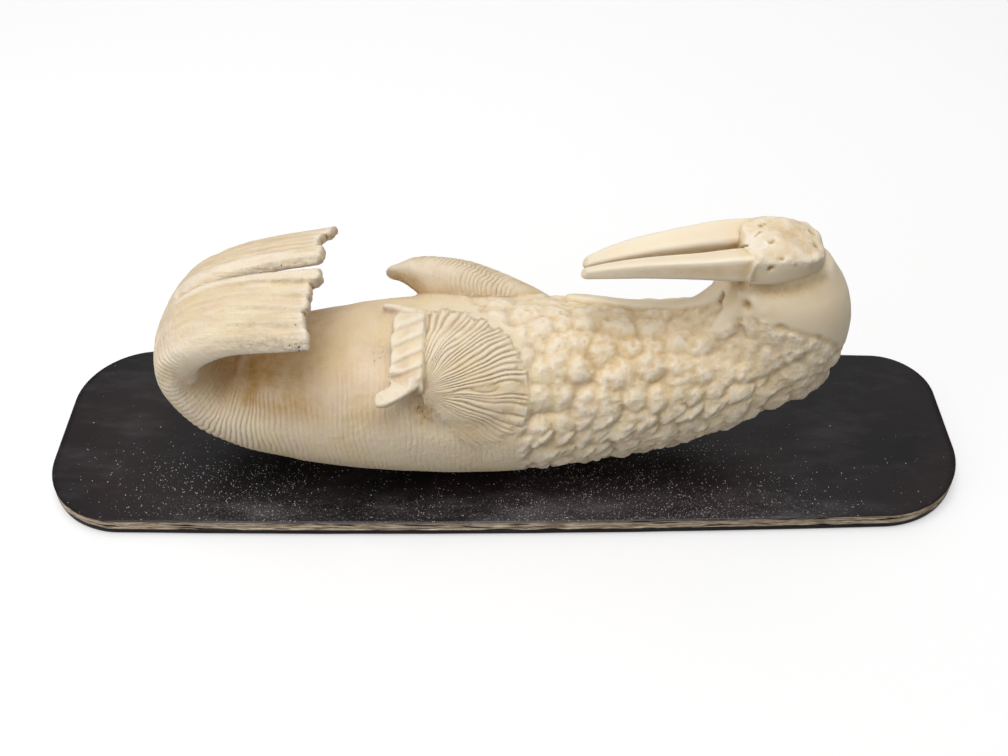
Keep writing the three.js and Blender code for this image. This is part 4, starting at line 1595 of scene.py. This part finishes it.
class WALRUS_PG_sizes(bpy.types.PropertyGroup):
    groove_pitch: amount("Groove pitch", "Distance between grooves on the tail, mm", 1.25)
    groove_depth: amount("Groove depth", "Depth of the grooves on the tail, mm", 0.3)
    nodule_size: amount("Nodule size", "Width of the nodules on the chest, mm", 5.1)
    nodule_height: amount("Nodule height", "Height of the nodules on the chest, mm", 1.1)
    fold_count: IntProperty(
        name="Folds", description="Folds of skin behind the near foreflipper", default=37
    )
    fold_height: amount("Fold height", "Height of those folds, mm", 0.5)


class WALRUS_PG_colours(bpy.types.PropertyGroup):
    cream: colour_property("Cream", "Ivory as it is over most of the carving", "#e6d0a8")
    blush: colour_property("Blush", "Ivory's pinker clouds", "#e8d2bb")
    pale: colour_property("Pale", "Ivory's lighter clouds", "#ecdbb9")
    # Rubbed is also the colour of the painted highlight on the muzzle's flat.
    rubbed: colour_property("Rubbed", "Raised edges, rubbed pale", "#f3e9d7")
    # Tan also paints shade under the flippers and digits and on the tusks' sides.
    tan: colour_property("Tan", "Stained ivory", "#bb904a")
    core: colour_property("Core", "Darker grains of the mottled core", "#e0bb80")
    crevice: colour_property("Crevice", "Dirt in the cuts", "#a3835a")
    # Smudge also paints shade in the hollows under the whisker pad, at the mouth, the armpit and the
    # cheek's step.
    smudge_and_shade: colour_property("Smudge", "Dark dirt on the flipper's corner", "#75613f")
    speck: colour_property("Speck", "Dark specks", "#54422c")
    board: colour_property("Board", "The board's black face", "#0e0b0d")
    # Dust is also the colour of the pale streaks painted over the board as sheen.
    dust: colour_property("Dust", "Dust on the board", "#b8b2b5")
    wood: colour_property("Bare wood", "Fibres at the board's worn edge", "#ecdabf")
    wood_dark: colour_property("Dark wood", "Darker fibres at the worn edge", "#8c7260")
    board_tint: colour_property("Board tint", "Browner clouds on the board", "#211718")


class WALRUS_PG_stage(bpy.types.PropertyGroup):
    key_power: amount("Key light", "Power of the high light above the carving, W", 5.6)
    back_power: amount("Back light", "Power of the light that the lacquer mirrors, W", 2.9)
    fill_power: amount("Fill light", "Power of the low light from the front left, W", 0.52)
    sky: amount("Sky", "Strength of the white surroundings", 0.25)


# Operators


def finish_piece(piece, node):
    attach(piece, "root")
    if node:
        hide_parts(node)


class WALRUS_OT_carve(bpy.types.Operator):
    """Carves the walrus with its grooves, folds, nodules and digits"""

    bl_idname = "walrus_carving.carve"
    bl_label = "Carve the walrus"

    def execute(self, context):
        scene = context.scene
        mesh = lightened(sculpt(scene.walrus_sizes), FIELDS)
        mesh.name = "walrus_carving"
        points = points_of(mesh)
        points[:, 1] += CARVING_OFFSET_Y
        points[:, 2] += BOARD_HIGH[2] - SEAT
        set_points(mesh, points * MM)
        mesh.shade_smooth()
        mesh.materials.clear()
        mesh.materials.append(carved_ivory(scene.walrus_colours))
        finish_piece(object_of(mesh), "walrus")
        print("walrus triangles", len(mesh.polygons))
        return {"FINISHED"}


class WALRUS_OT_board(bpy.types.Operator):
    """Finishes the base board"""

    bl_idname = "walrus_carving.board"
    bl_label = "Finish the base board"

    def execute(self, context):
        colours = context.scene.walrus_colours
        mesh = board_mesh()
        mesh.materials.append(black_board(colours))
        dust = pale_dust(colours)
        strewn = [scattered(mesh, name, dust) for name in GRAINS]
        finish_piece(object_of(mesh), "board")
        for grains in strewn:
            finish_piece(object_of(grains), None)
        return {"FINISHED"}


# Square lamps: the side of each and its place, in metres
LAMPS = {
    "key": (0.62, (-0.08, -0.09, 0.9)),
    "back": (1.3, (0.02, 0.85, 0.85)),
    "fill": (0.3, (-0.38, -0.25, 0.17)),
}
FLOOR_REACH = 3.0
CAMERA_PLACE = (-0.0005, -0.2043, 0.2283)
CAMERA_PITCH = math.radians(45)
CAMERA_LENS = 41.8


def add_lamp(name, power, size, location):
    """A square light that faces the carving."""
    lamp = bpy.data.lights.new(name, "AREA")
    lamp.energy = power
    lamp.size = size
    holder = bpy.data.objects.new(name, lamp)
    holder.location = location
    holder.rotation_euler = (-Vector(location)).to_track_quat("-Z", "Y").to_euler()
    bpy.context.scene.collection.objects.link(holder)


class WALRUS_OT_stage(bpy.types.Operator):
    """Sets the floor, the light and the camera"""

    bl_idname = "walrus_carving.stage"
    bl_label = "Set the stage"

    def execute(self, context):
        scene = context.scene
        settings = scene.walrus_stage
        corners = np.array([(-1, -1, 0), (1, -1, 0), (1, 1, 0), (-1, 1, 0)]) * FLOOR_REACH
        floor = object_of(mesh_of("floor", corners, np.array([[0, 1, 2, 3]])))
        floor.data.materials.append(pale_floor())

        world = bpy.data.worlds.new("white surroundings")
        world.use_nodes = True
        back = world.node_tree.nodes["Background"]
        back.inputs["Color"].default_value = (1, 1, 1, 1)
        back.inputs["Strength"].default_value = settings.sky
        scene.world = world

        for name, (size, location) in LAMPS.items():
            add_lamp(f"{name}_light", getattr(settings, f"{name}_power"), size, location)

        camera = bpy.data.cameras.new("camera")
        camera.lens = CAMERA_LENS
        camera.clip_start = 0.005
        eye = bpy.data.objects.new("camera", camera)
        eye.location = CAMERA_PLACE
        eye.rotation_euler = (CAMERA_PITCH, 0, 0)
        scene.collection.objects.link(eye)
        scene.camera = eye
        scene.view_settings.view_transform = "Standard"
        return {"FINISHED"}


class WALRUS_PT_panel(bpy.types.Panel):
    """Lists the steps that make the carving"""

    bl_idname = "WALRUS_PT_panel"
    bl_label = "Ivory walrus"
    bl_space_type = "VIEW_3D"
    bl_region_type = "UI"
    bl_category = "Carving"

    def draw(self, context):
        for step in STEPS:
            self.layout.operator(step.bl_idname)


STEPS = (WALRUS_OT_carve, WALRUS_OT_board, WALRUS_OT_stage)
GROUPS = {
    "walrus_sizes": WALRUS_PG_sizes,
    "walrus_colours": WALRUS_PG_colours,
    "walrus_stage": WALRUS_PG_stage,
}


def register():
    for group in GROUPS.values():
        bpy.utils.register_class(group)
    for kind in (*STEPS, WALRUS_PT_panel):
        bpy.utils.register_class(kind)
    for name, group in GROUPS.items():
        setattr(bpy.types.Scene, name, PointerProperty(type=group))


def unregister():
    for name in GROUPS:
        delattr(bpy.types.Scene, name)
    for kind in reversed((*GROUPS.values(), *STEPS, WALRUS_PT_panel)):
        bpy.utils.unregister_class(kind)


def main():
    register()
    for step in STEPS:
        area, call = step.bl_idname.split(".")
        getattr(getattr(bpy.ops, area), call)()


if __name__ == "__main__":
    main()
